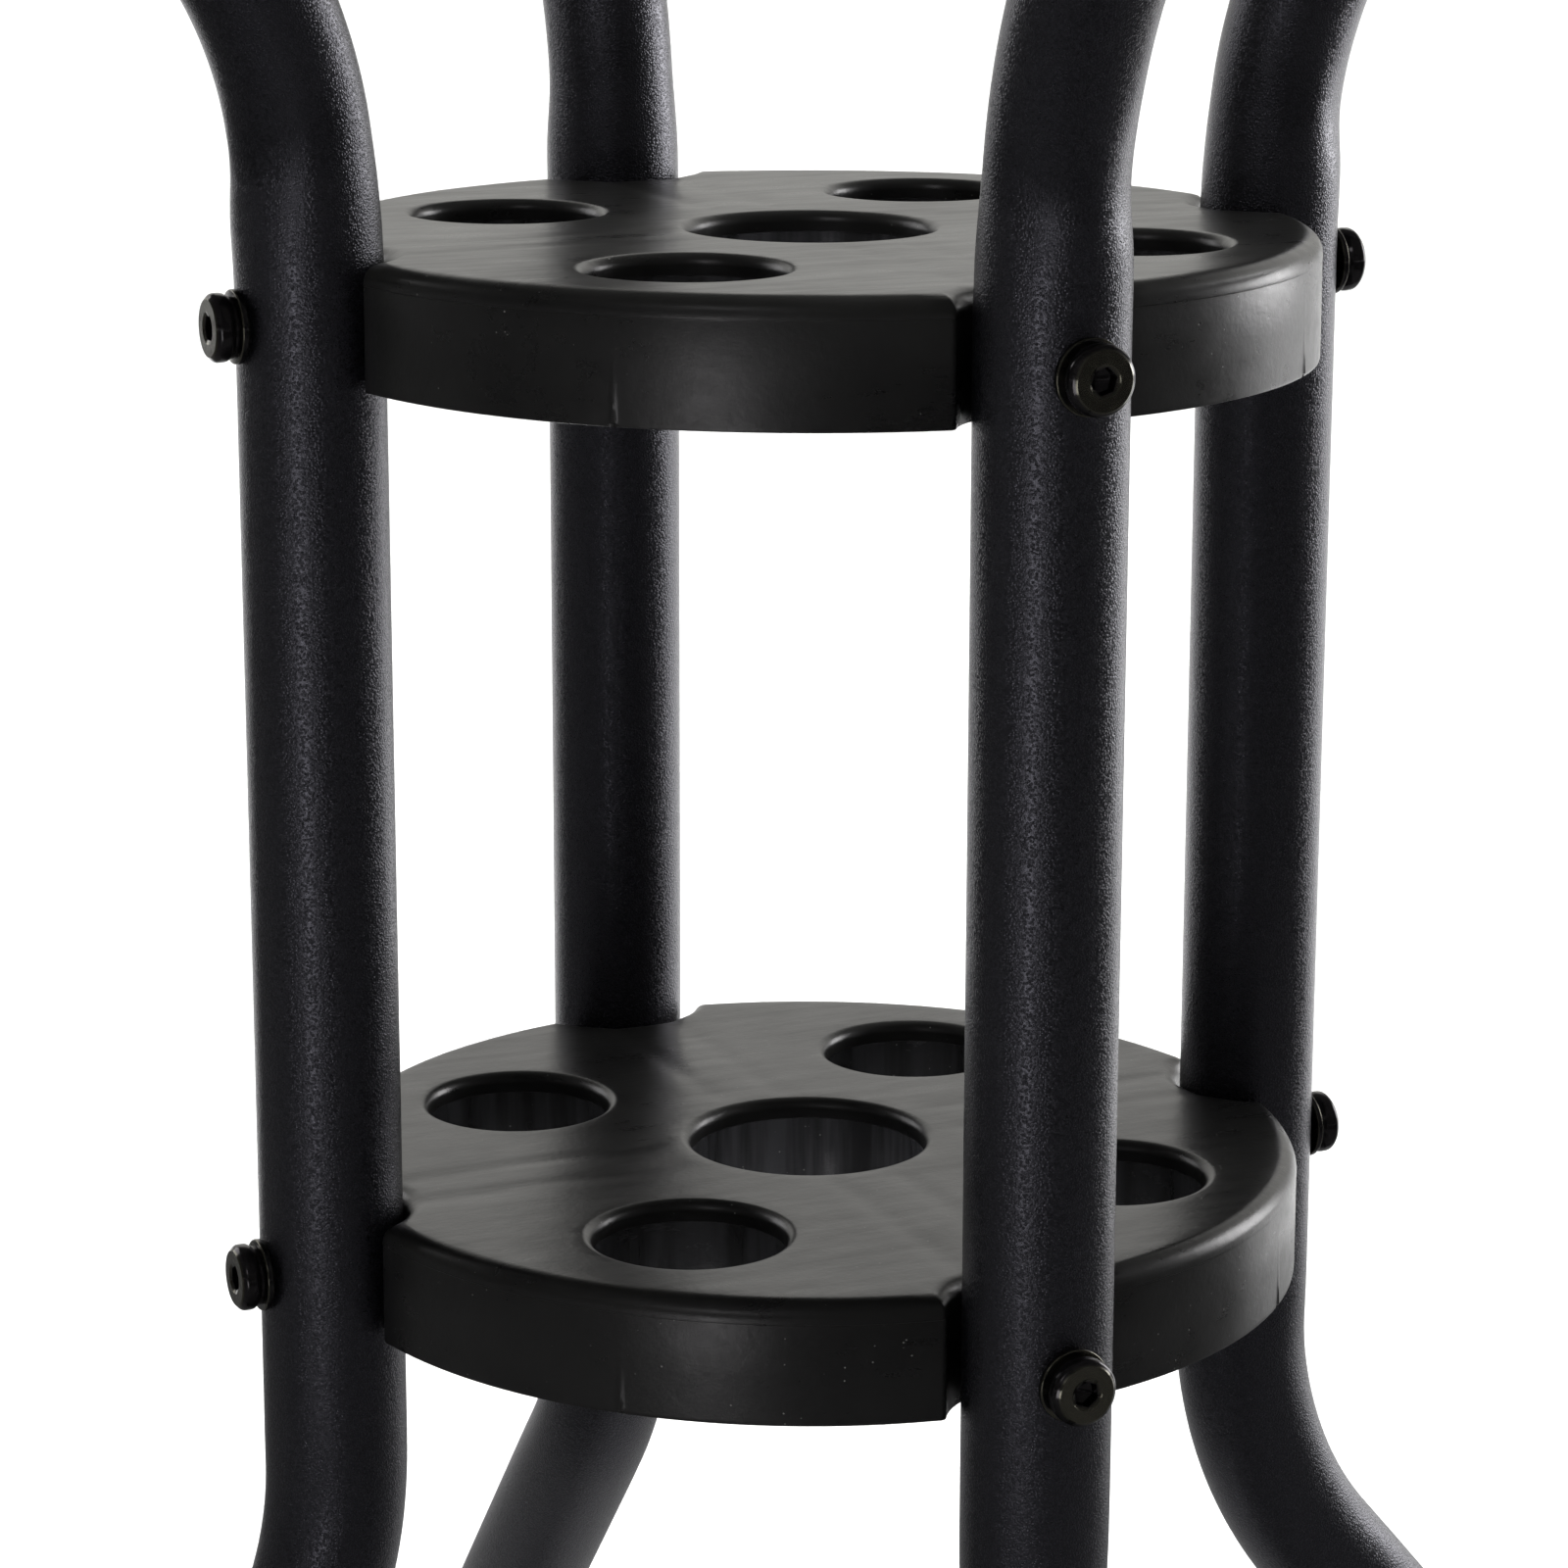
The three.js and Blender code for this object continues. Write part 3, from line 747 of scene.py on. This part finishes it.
def plate_shell(top):
    """Top skin, rounded rim and hole walls of a plate, hollow underneath, from its underside up."""
    bm = bmesh.new()
    seam = top - SEAM_DROP
    loops = [rim_outline(inset, top - drop) for inset, drop in fillet_steps(EDGE_FILLET)]
    loops += [
        rim_outline(0, seam + 0.10 * MM),
        rim_outline(SEAM_STEP, seam),
        rim_outline(SEAM_STEP, seam - 0.15 * MM),
        rim_outline(SEAM_STEP * 0.4, seam - 0.5 * MM),
    ]
    for share in (1.0, 0.75, 0.5, 0.3, 0.15):
        loops.append(rim_outline(0, SCAR_RISE * share, SCAR_DEPTH * (1 - share)))
    loops += [
        rim_outline(0, 0.7 * MM, SCAR_DEPTH),
        rim_outline(0, 0.5 * MM, -SCAR_DEPTH),
        rim_outline(0.09 * MM, 0.09 * MM, -SCAR_DEPTH),
        rim_outline(0.3 * MM, 0),
        rim_outline(PLATE_WALL - 0.3 * MM, 0),
        rim_outline(PLATE_WALL, 0.3 * MM),
        rim_outline(PLATE_WALL, top - PLATE_WALL),
    ]
    rows = add_loops(bm, loops)
    top_rows, skin_rows = [rows[0]], [rows[-1]]
    for centre, radius, sides in hole_list():
        profile = [(radius + inset, top - drop) for inset, drop in fillet_steps(HOLE_FILLET)]
        wall = radius + LIP_STEP
        profile += [
            (radius, top - LIP_DROP),
            (radius + 0.08 * MM, top - LIP_DROP - 0.08 * MM),
            (wall, top - LIP_DROP - 0.10 * MM),
            (wall, top - LIP_DROP - 0.4 * MM),
            (wall + 0.05 * MM, 0.3 * MM),
            (wall + 0.3 * MM, 0),
            (radius + PLATE_WALL - 0.3 * MM, 0),
            (radius + PLATE_WALL, 0.3 * MM),
            (radius + PLATE_WALL, top - PLATE_WALL),
        ]
        rows = turned(bm, profile, sides, Matrix.Translation(centre))
        top_rows.append(rows[0])
        skin_rows.append(rows[-1])
    bmesh.ops.remove_doubles(bm, verts=top_rows[0] + skin_rows[0], dist=1e-7)
    top_rows[0] = [vert for vert in top_rows[0] if vert.is_valid]
    skin_rows[0] = [vert for vert in skin_rows[0] if vert.is_valid]
    fill_between(bm, top_rows, top, TOP_GRID, plate_region(EDGE_FILLET, HOLE_FILLET))
    fill_between(bm, skin_rows, top - PLATE_WALL, 0, plate_region(PLATE_WALL, PLATE_WALL))
    for vert in bm.verts:
        if vert.co.z > top - EDGE_FILLET:
            share = (vert.co.z - top + EDGE_FILLET) / EDGE_FILLET
            vert.co.z -= share * sink(vert.co.x, vert.co.y)
    return bm


def add_block(bm, low, high, bearing):
    """A box between two corners, turned about the stand's centre line."""
    made = bmesh.ops.create_cube(bm, size=1.0)["verts"]
    size = Vector(high) - Vector(low)
    middle = (Vector(high) + Vector(low)) / 2
    scale = Matrix.Diagonal((*size, 1))
    bmesh.ops.transform(bm, matrix=turn(bearing) @ Matrix.Translation(middle) @ scale, verts=made)


def plate_ribs(top):
    """Ribs and screw bosses under the top skin, sunk a little into the walls that they join."""
    ribs = bmesh.new()
    into = 0.8 * MM
    high = top - PLATE_WALL + into
    notch_back = NOTCH_CENTRE - NOTCH_RADIUS - PLATE_WALL + into
    sleeve = CENTRE_HOLE_RADIUS + PLATE_WALL - into
    for bearing in QUARTERS:
        half_boss = BOSS_WIDTH / 2
        boss_low = (BOSS_INNER_END, -half_boss, BOSS_LIFT)
        add_block(ribs, boss_low, (notch_back, half_boss, high), bearing)
        for side in (-1, 1):
            near = side * RIB_OFFSET - RIB_THICKNESS / 2
            far = side * RIB_OFFSET + RIB_THICKNESS / 2
            add_block(ribs, (sleeve, near, RIB_LIFT), (BOSS_INNER_END + into, far, high), bearing)
        inner = OUTER_HOLE_PITCH + OUTER_HOLE_RADIUS + PLATE_WALL - into
        outer = PLATE_RADIUS - PLATE_WALL + into
        half = RIB_THICKNESS / 2
        add_block(ribs, (inner, -half, RIB_LIFT), (outer, half, high), bearing + 45)
    return tool_object(ribs)


def hole_list():
    """(centre, radius, sides) of each hole."""
    holes = [(Vector(), CENTRE_HOLE_RADIUS, CENTRE_SIDES)]
    for step in range(4):
        centre = turn(45 + 90 * step) @ Vector((OUTER_HOLE_PITCH, 0, 0))
        holes.append((centre, OUTER_HOLE_RADIUS, OUTER_SIDES))
    return holes


def mark_polish_and_sheen(mesh):
    """Stores how glossy the holes' walls are below their lips, and how strongly they take the
    painted sheen of pale streaks.
    """
    values = []
    for vert in mesh.vertices:
        value = 0.0
        for centre, radius, _ in hole_list():
            near = math.hypot(vert.co.x - centre.x, vert.co.y - centre.y) < radius + 1.0 * MM
            if near and vert.co.z < THICKNESS - LIP_DROP - 0.05 * MM:
                value = 1.0 if radius == CENTRE_HOLE_RADIUS else OUTER_POLISH_AND_SHEEN
        values.append(value)
    store(mesh, "polish_and_sheen", values)


def make_plate(level, material):
    bm = plate_shell(THICKNESS)
    plate = finish_mesh(bm, f"{level}_holder", material, f"{level}_plate")
    apply_boolean(plate, plate_ribs(THICKNESS), "UNION")
    bores = bmesh.new()
    for bearing in BEARINGS.values():
        placement = radial_frame(bearing, SCREW_HEIGHT)
        end = NOTCH_CENTRE - NOTCH_RADIUS + 1.5 * MM
        profile = rod_profile(INSERT_BORE_RADIUS, INSERT_INNER_END, end)
        turned(bores, profile, INSERT_BORE_SIDES, placement)
    apply_boolean(plate, tool_object(bores), "DIFFERENCE")
    mark_polish_and_sheen(plate.data)
    plate.data.transform(Matrix.Translation((0, 0, UNDERSIDES[level])))
    plate.data.shade_smooth()
    plate.data.set_sharp_from_angle(angle=math.radians(32))
    return plate


# ---- Screws and washers ----

SCREW_SIDES = 48
SOCKET_HALF_WIDTH = 2.0 * MM  # across the flats
SOCKET_DEPTH = 2.4 * MM
# (radius, height above the washer) in mm: out from the neck to the widest part of the head.
HEAD_BARREL = [(4.9, 0), (5.15, 0.15), (5.2, 0.8), (5.45, 1.15)]
HEAD_BARREL += [(5.7, 1.5), (5.8, 2.0), (5.8, 2.5)]
WASHER_EDGE = 0.3 * MM  # radius of its rounded rim


def hexagon(height, turned_by, placement):
    """A hexagon sampled by as many points as the head's circles, at the same bearings."""
    points = []
    for i in range(SCREW_SIDES):
        angle = 2 * math.pi * i / SCREW_SIDES
        from_flat = (angle - turned_by) % (math.pi / 3) - math.pi / 6
        radius = SOCKET_HALF_WIDTH / math.cos(from_flat)
        point = Vector((radius * math.cos(angle), radius * math.sin(angle), height))
        points.append(placement @ point)
    return points


def mark_wear_and_rim_highlight(piece, placement, is_marked):
    """Stores where the black finish has rubbed thin on a head's face, and where a washer's rim
    takes a painted highlight; is_marked tests a point's radius and its place along the axis."""
    back = placement.inverted()
    values = []
    for vert in piece.data.vertices:
        local = back @ vert.co
        values.append(1.0 if is_marked(math.hypot(local.x, local.y), local.z) else 0.0)
    store(piece.data, "wear_and_rim_highlight", values)


def make_screw(level, side, bearing, turned_by, material):
    base = LEG_PITCH + TUBE_RADIUS + WASHER_THICKNESS
    front = base + HEAD_HEIGHT
    placement = radial_frame(bearing, UNDERSIDES[level] + SCREW_HEIGHT)
    profile = [(0, SCREW_TIP), (2.2 * MM, SCREW_TIP)]
    profile += [(THREAD_RADIUS, SCREW_TIP + 1 * MM), (THREAD_RADIUS, base)]
    profile += [(radius * MM, base + height * MM) for radius, height in HEAD_BARREL]
    # Over a rounded shoulder to the flat front, and down into the socket.
    profile += arc_profile((4.6 * MM, base + 2.8 * MM), 1.2 * MM, 8, 62, 6)
    profile += [(4.95 * MM, front - 0.10 * MM), (4.8 * MM, front)]
    profile += [(2.75 * MM, front), (2.6 * MM, front - 0.12 * MM)]
    bm = bmesh.new()
    rows = turned(bm, profile, SCREW_SIDES, placement)
    socket = [
        hexagon(front - 0.35 * MM, turned_by, placement),
        hexagon(front - SOCKET_DEPTH, turned_by, placement),
        circle(1.6 * MM, front - SOCKET_DEPTH - 0.25 * MM, SCREW_SIDES, placement),
        circle(0.3 * MM, front - SOCKET_DEPTH - 0.9 * MM, SCREW_SIDES, placement),
    ]
    inner = add_loops(bm, socket, end_cap=True)
    for i in range(SCREW_SIDES):
        j = (i + 1) % SCREW_SIDES
        bm.faces.new((rows[-1][i], rows[-1][j], inner[0][j], inner[0][i]))
    name = f"{level}_screw_{side}"
    bolt = finish_mesh(bm, f"{level}_bolt_{side}", material, name, sharp=28)
    mark_wear_and_rim_highlight(bolt, placement, lambda radius, along: radius > 2.5 * MM and along > front - 0.2 * MM)
    return bolt


def make_washer(level, side, bearing, material):
    base = LEG_PITCH + TUBE_RADIUS
    placement = radial_frame(bearing, UNDERSIDES[level] + SCREW_HEIGHT)
    edge = WASHER_EDGE
    top = base + WASHER_THICKNESS
    profile = [(BORE_RADIUS, base + 0.1 * MM), (BORE_RADIUS + 0.1 * MM, base)]
    profile += arc_profile((WASHER_RADIUS - edge, base + edge), edge, -90, 0, 4)
    profile += arc_profile((WASHER_RADIUS - edge, top - edge), edge, 0, 90, 4)
    profile += [(BORE_RADIUS + 0.1 * MM, top), (BORE_RADIUS, top - 0.1 * MM)]
    bm = bmesh.new()
    turned(bm, profile, SCREW_SIDES, placement, wrap=True)
    name = f"{level}_washer_{side}"
    disc = finish_mesh(bm, f"{level}_disc_{side}", material, name)
    # Painted highlight: the washer's rounded rim gets the paler rubbed colour.
    mark_wear_and_rim_highlight(disc, placement, lambda radius, along: -edge < radius - WASHER_RADIUS < -0.01 * MM)
    return disc


# ---- Caps and feet ----

CAP_SIDES = 64
CAP_FLANGE = 2.4 * MM
CAP_DOME = 1.8 * MM
CAP_FILLET = 1.2 * MM
CAP_PLUG_LENGTH = 12 * MM
PLUG_RADIUS = 11.15 * MM
PLUG_CORE = PLUG_RADIUS - 0.6 * MM  # between its grip fins
PLUG_BORE = 9 * MM
FOOT_SIDES = 72
SLEEVE_RADIUS = 15.5 * MM
SLEEVE_BORE = 12.6 * MM
SLEEVE_LENGTH = 22 * MM
PAD_RADIUS = 20 * MM
PAD_HEIGHT = 7 * MM
BLEND_STEPS = 14  # of a foot, from its sleeve to its pad
# (distance below the sleeve's top in mm, radius): its lip and the groove round it.
COLLAR = [
    (0.5, SLEEVE_BORE),
    (0.0, SLEEVE_BORE + 0.5 * MM),
    (0.0, SLEEVE_RADIUS - 1.2 * MM),
    (0.35, SLEEVE_RADIUS - 0.35 * MM),
    (1.2, SLEEVE_RADIUS),
    (4.2, SLEEVE_RADIUS),
    (4.6, SLEEVE_RADIUS - 0.5 * MM),
    (5.6, SLEEVE_RADIUS - 0.5 * MM),
    (6.0, SLEEVE_RADIUS),
]
# (radius, height) in mm: the pad's edge, then the two grooves in its underside.
PAD_EDGE = [(17.9, 6.6), (19.0, 5.7), (19.75, 4.6), (20.0, 3.5)]
PAD_EDGE += [(20.0, 1.2), (19.65, 0.35), (18.8, 0.0)]
PAD_GROOVES = [(14.0, 0.0), (13.6, 0.7), (12.4, 0.7), (12.0, 0.0)]
PAD_GROOVES += [(7.0, 0.0), (6.6, 0.7), (5.4, 0.7), (5.0, 0.0)]


def leg_end(upper):
    """Centre of a leg's end in its own upright plane, x outwards."""
    place = leg_line()[-1 if upper else 0]
    return Vector((place[0], 0, place[1]))


def make_cap(side, bearing, material):
    end = leg_end(True)
    placement = turn(bearing) @ Matrix.Translation(end) @ Matrix.Rotation(FLARE, 4, "Y")
    dome_radius = (TUBE_RADIUS**2 + CAP_DOME**2) / (2 * CAP_DOME)
    top = CAP_FLANGE + CAP_DOME
    profile = [(0, 0), (PLUG_BORE, 0), (PLUG_BORE, -CAP_PLUG_LENGTH + 0.4 * MM)]
    profile += [(PLUG_BORE + 0.4 * MM, -CAP_PLUG_LENGTH), (PLUG_CORE, -CAP_PLUG_LENGTH)]
    for fin in range(4):  # grip fins round the plug
        low = -CAP_PLUG_LENGTH + (1.5 + 2.4 * fin) * MM
        profile += [(PLUG_CORE, low), (PLUG_RADIUS, low + 0.9 * MM), (PLUG_CORE, low + 1.3 * MM)]
    profile += [(PLUG_CORE, 0.05 * MM), (TUBE_RADIUS - 0.3 * MM, 0.05 * MM)]
    profile += [(TUBE_RADIUS, 0.35 * MM)]
    centre = (TUBE_RADIUS - CAP_FILLET, CAP_FLANGE - CAP_FILLET)
    profile += arc_profile(centre, CAP_FILLET, 0, 70, 6)
    for i in range(1, 9):
        radius = (TUBE_RADIUS - 1.0 * MM) * (1 - i / 8)
        profile.append((radius, top - dome_radius + math.sqrt(dome_radius**2 - radius**2)))
    bm = bmesh.new()
    turned(bm, profile, CAP_SIDES, placement)
    plug = finish_mesh(bm, f"end_plug_{side}", material, f"top_cap_{side}")
    lean_over(plug, side)
    return plug


def make_foot(side, bearing, material):
    """A rubber foot: loops that turn from square to the leaning tube to level on the floor."""
    end = leg_end(False)
    along = Vector((-math.sin(FLARE), 0, math.cos(FLARE)))
    pad_centre = Vector((end.x + end.z * math.tan(FLARE), 0, 0))
    collar = end + along * SLEEVE_LENGTH

    def loop(centre, lean, radius):
        placement = Matrix.Translation(centre) @ Matrix.Rotation(-lean, 4, "Y")
        return circle(radius, 0, FOOT_SIDES, placement)

    loops = [loop(collar - along * drop * MM, FLARE, radius) for drop, radius in COLLAR]
    start = collar - along * COLLAR[-1][0] * MM
    blend_end = pad_centre + UP * PAD_HEIGHT
    for i in range(1, BLEND_STEPS + 1):
        share = i / BLEND_STEPS
        centre = start.lerp(blend_end, share)
        lean = FLARE * (1 - smooth_step(share))
        radius = SLEEVE_RADIUS + (PAD_RADIUS - 3 * MM - SLEEVE_RADIUS) * share**2
        loops.append(loop(centre, lean, radius))
    for radius, height in PAD_EDGE + PAD_GROOVES:
        loops.append(circle(radius * MM, height * MM, FOOT_SIDES, Matrix.Translation(pad_centre)))
    bm = bmesh.new()
    rows = add_loops(bm, loops, end_cap=True)
    socket = [
        loop(end - along * 0.3 * MM, FLARE, SLEEVE_BORE),
        loop(end - along * 0.3 * MM, FLARE, SLEEVE_BORE * 0.5),
    ]
    bore = add_loops(bm, socket, end_cap=True)
    for i in range(FOOT_SIDES):
        j = (i + 1) % FOOT_SIDES
        bm.faces.new((rows[0][i], rows[0][j], bore[0][j], bore[0][i]))
    bmesh.ops.transform(bm, matrix=turn(bearing), verts=bm.verts)
    return finish_mesh(bm, f"rubber_foot_{side}", material, f"foot_{side}")


# ---- Studio ----

FLOOR_HALF = 12.0
BACKDROP_RADIUS = 11.0
BACKDROP_HEIGHT = 12.0


def studio_object(bm, name, material):
    mesh = bpy.data.meshes.new(name)
    bm.to_mesh(mesh)
    bm.free()
    mesh.materials.append(material)
    piece = bpy.data.objects.new(name, mesh)
    bpy.context.scene.collection.objects.link(piece)
    return piece


def make_floor():
    half = FLOOR_HALF
    bm = bmesh.new()
    corners = [(-half, -half, 0), (half, -half, 0), (half, half, 0), (-half, half, 0)]
    bm.faces.new([bm.verts.new(corner) for corner in corners])
    floor = studio_object(bm, "floor", floor_paint())


def make_backdrop():
    """A white screen right round the studio. Only the camera sees it, past the walls' own light."""
    bm = bmesh.new()
    rings = [(BACKDROP_RADIUS, 0), (BACKDROP_RADIUS, BACKDROP_HEIGHT), (0.5, BACKDROP_HEIGHT + 2)]
    add_loops(bm, [circle(radius, height, 64) for radius, height in rings], end_cap=True)
    backdrop = studio_object(bm, "backdrop", flag_cloth("backdrop", 0.9, 1.0))
    backdrop.visible_diffuse = False
    backdrop.visible_glossy = False
    backdrop.visible_shadow = False


DARK_LEFT = math.radians(137)  # how far the dark side of the studio reaches round from the camera
DARK_RIGHT = math.radians(115)
STRIP_NEAR = math.radians(15)  # edges of the glowing strip that only reflections see, a painted bright reflection on the floor, turned left from the camera
STRIP_FAR = math.radians(27)
STRIP_START = 0.62  # distance from the stand at which the strip begins
FLAG_START = 0.02
FLAG_REACH = 8.0
BACK_REACH = 0.55  # of the dark sheet behind the stand that only reflections see, painted shade that keeps the flared legs dark
HUNG_HEIGHT = 0.374  # of a dark sheet that only reflections see, painted shade that hides the floor from the flares above the upper plate
HUNG_NEAR = 0.108
HUNG_FAR = 0.34
HUNG_HALF = math.radians(85)
FLAG_LIFT = 0.002
FLAG_STEPS = 24


def facing(turned_left):
    """Level direction from the stand, turned by an angle to the left as the camera sees it."""
    bearing = CAMERA_BEARING - turned_left
    return Vector((math.sin(bearing), -math.cos(bearing), 0))


def flag_cloth(name, shade, glow=0.0):
    m = Nodes(f"flag_cloth_{name}", grey(shade), 1.0, specular=0.0)
    m.shader.inputs["Emission Color"].default_value = (1, 1, 1, 1)
    m.shader.inputs["Emission Strength"].default_value = glow
    return m.material


def make_flag(name, start, end, near, far, material, height=FLAG_LIFT):
    """A level sheet between two angles turned left from the camera. Only reflections see it, so
    its colour and glow are a painted reflection, which lights and shadows nothing.
    """
    bm = bmesh.new()
    rows = []
    for i in range(FLAG_STEPS + 1):
        direction = facing(start + (end - start) * i / FLAG_STEPS)
        low = bm.verts.new(direction * near + UP * height)
        high = bm.verts.new(direction * far + UP * height)
        rows.append((low, high))
    for first, second in zip(rows, rows[1:]):
        bm.faces.new((first[0], first[1], second[1], second[0]))
    flag = studio_object(bm, name, material)
    flag.visible_camera = False
    flag.visible_diffuse = False
    flag.visible_shadow = False


SUN_TURN = math.radians(30)  # to the right of straight behind the stand
BOX_DISTANCE = 1.7


def studio_light(name, data, away):
    """A light that shines on the stand from a direction."""
    light = bpy.data.objects.new(name, data)
    bpy.context.scene.collection.objects.link(light)
    light.rotation_mode = "QUATERNION"
    light.rotation_quaternion = (-away).to_track_quat("-Z", "Y")
    return light


def make_sun(strength, softness, elevation):
    """Soft light from above and a little behind, which the floor needs; gloss doesn't see it."""
    data = bpy.data.lights.new("overhead", "SUN")
    data.energy = strength
    data.angle = softness
    away = -facing(SUN_TURN) * math.cos(elevation) + UP * math.sin(elevation)
    light = studio_light("overhead", data, away)
    light.visible_glossy = False


def make_softbox(name, turned_left, elevation, width, height, radiance):
    """A soft light panel that faces the stand, turned left from the camera."""
    data = bpy.data.lights.new(name, "AREA")
    data.shape = "RECTANGLE"
    data.size = width
    data.size_y = height
    data.energy = radiance * math.pi * width * height
    away = facing(turned_left) * math.cos(elevation) + UP * math.sin(elevation)
    light = studio_light(name, data, away)
    light.location = UP * (cad_low.z + cad_high.z) / 2 + away * BOX_DISTANCE


WALL_BRIGHT = 0.79  # radiance of the studio's walls, low down, outside the dark side
WALL_DIM = 0.07  # radiance of the dark side and of everything high up
WALL_COLOR = (1.0, 0.99, 0.945, 1)
WALL_FOOT = 0.85  # how much the walls gain from their foot upwards
WALL_HEAD = 1.42


def make_world():
    """White walls round a dim studio; the walls stop on the side where the camera stands."""
    world = bpy.data.worlds.new("studio")
    bpy.context.scene.world = world
    world.use_nodes = True
    tree = world.node_tree
    background = tree.nodes["Background"]
    place = tree.nodes.new("ShaderNodeTexCoord").outputs["Generated"]

    def along(direction):
        node = tree.nodes.new("ShaderNodeVectorMath")
        node.operation = "DOT_PRODUCT"
        node.inputs[1].default_value = direction
        tree.links.new(place, node.inputs[0])
        return node.outputs["Value"]

    def fade(source, low, high, low_value, high_value):
        node = tree.nodes.new("ShaderNodeMapRange")
        node.interpolation_type = "SMOOTHSTEP"
        node.inputs["From Min"].default_value = low
        node.inputs["From Max"].default_value = high
        node.inputs["To Min"].default_value = low_value
        node.inputs["To Max"].default_value = high_value
        tree.links.new(source, node.inputs["Value"])
        return node.outputs["Result"]

    def times(first, second):
        node = tree.nodes.new("ShaderNodeMath")
        node.operation = "MULTIPLY"
        tree.links.new(first, node.inputs[0])
        tree.links.new(second, node.inputs[1])
        return node.outputs["Value"]

    edge = math.cos((DARK_LEFT + DARK_RIGHT) / 2)
    walls = fade(along(facing((DARK_LEFT - DARK_RIGHT) / 2)), edge - 0.2, edge + 0.25, 1, 0)
    low_down = fade(along(UP), 0.42, 0.72, 1, 0)
    lit = fade(times(walls, low_down), 0, 1, WALL_DIM, WALL_BRIGHT)
    strength = times(lit, fade(along(UP), 0.08, 0.34, WALL_FOOT, WALL_HEAD))
    tree.links.new(strength, background.inputs["Strength"])
    background.inputs["Color"].default_value = WALL_COLOR


# ---- Build ----

make_camera()
make_world()
make_floor()
make_backdrop()
# Painted reflections: dark sheets and a glowing strip that only reflections see; the hung sheet is
# painted shade on the upper flares.
reflection_sheet = flag_cloth("near", 0.085)
make_flag("flag_near", -DARK_RIGHT, DARK_LEFT, FLAG_START, STRIP_START, reflection_sheet)
reflection_sheet = flag_cloth("back", 0.24)
make_flag("flag_back", DARK_LEFT, 2 * math.pi - DARK_RIGHT, FLAG_START, BACK_REACH, reflection_sheet)
reflection_sheet = flag_cloth("strip", 0.9, 2.1)
make_flag("flag_strip", STRIP_NEAR, STRIP_FAR, STRIP_START, FLAG_REACH, reflection_sheet)
reflection_sheet = flag_cloth("right", 0.025)
make_flag("flag_right", -DARK_RIGHT, STRIP_NEAR, STRIP_START, FLAG_REACH, reflection_sheet)
reflection_sheet = flag_cloth("left", 0.065)
make_flag("flag_left", STRIP_FAR, DARK_LEFT, STRIP_START, FLAG_REACH, reflection_sheet)
reflection_sheet = flag_cloth("hung", 0.065)
make_flag("flag_hung", -HUNG_HALF, HUNG_HALF, HUNG_NEAR, HUNG_FAR, reflection_sheet, HUNG_HEIGHT)
make_sun(strength=4.4, softness=math.radians(50), elevation=math.radians(68))
make_softbox("box_right", math.radians(-118), math.radians(12), 0.7, 0.8, 8.0)
make_softbox("box_left", math.radians(122), math.radians(20), 0.8, 0.8, 2.4)
make_softbox("box_front", math.radians(22), math.radians(32), 0.3, 0.8, 2.2)

coat = powder_coat()
plastic = plate_plastic()
steel = black_steel()
cap_material = cap_plastic()
rubber = foot_rubber()
insert_material = brass()

for level in UNDERSIDES:
    make_plate(level, plastic)
for index, (side, bearing) in enumerate(BEARINGS.items()):
    make_leg(side, bearing, coat)
    make_cap(side, bearing, cap_material)
    make_foot(side, bearing, rubber)
    for level in UNDERSIDES:
        twist = math.radians(13 * index + (7 if level == "upper" else 31))
        make_screw(level, side, bearing, twist, steel)
        make_washer(level, side, bearing, steel)
        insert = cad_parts[f"{level}_insert_{side}"]
        for slot in insert.material_slots:
            slot.material = insert_material

bpy.context.scene.view_settings.view_transform = "Standard"
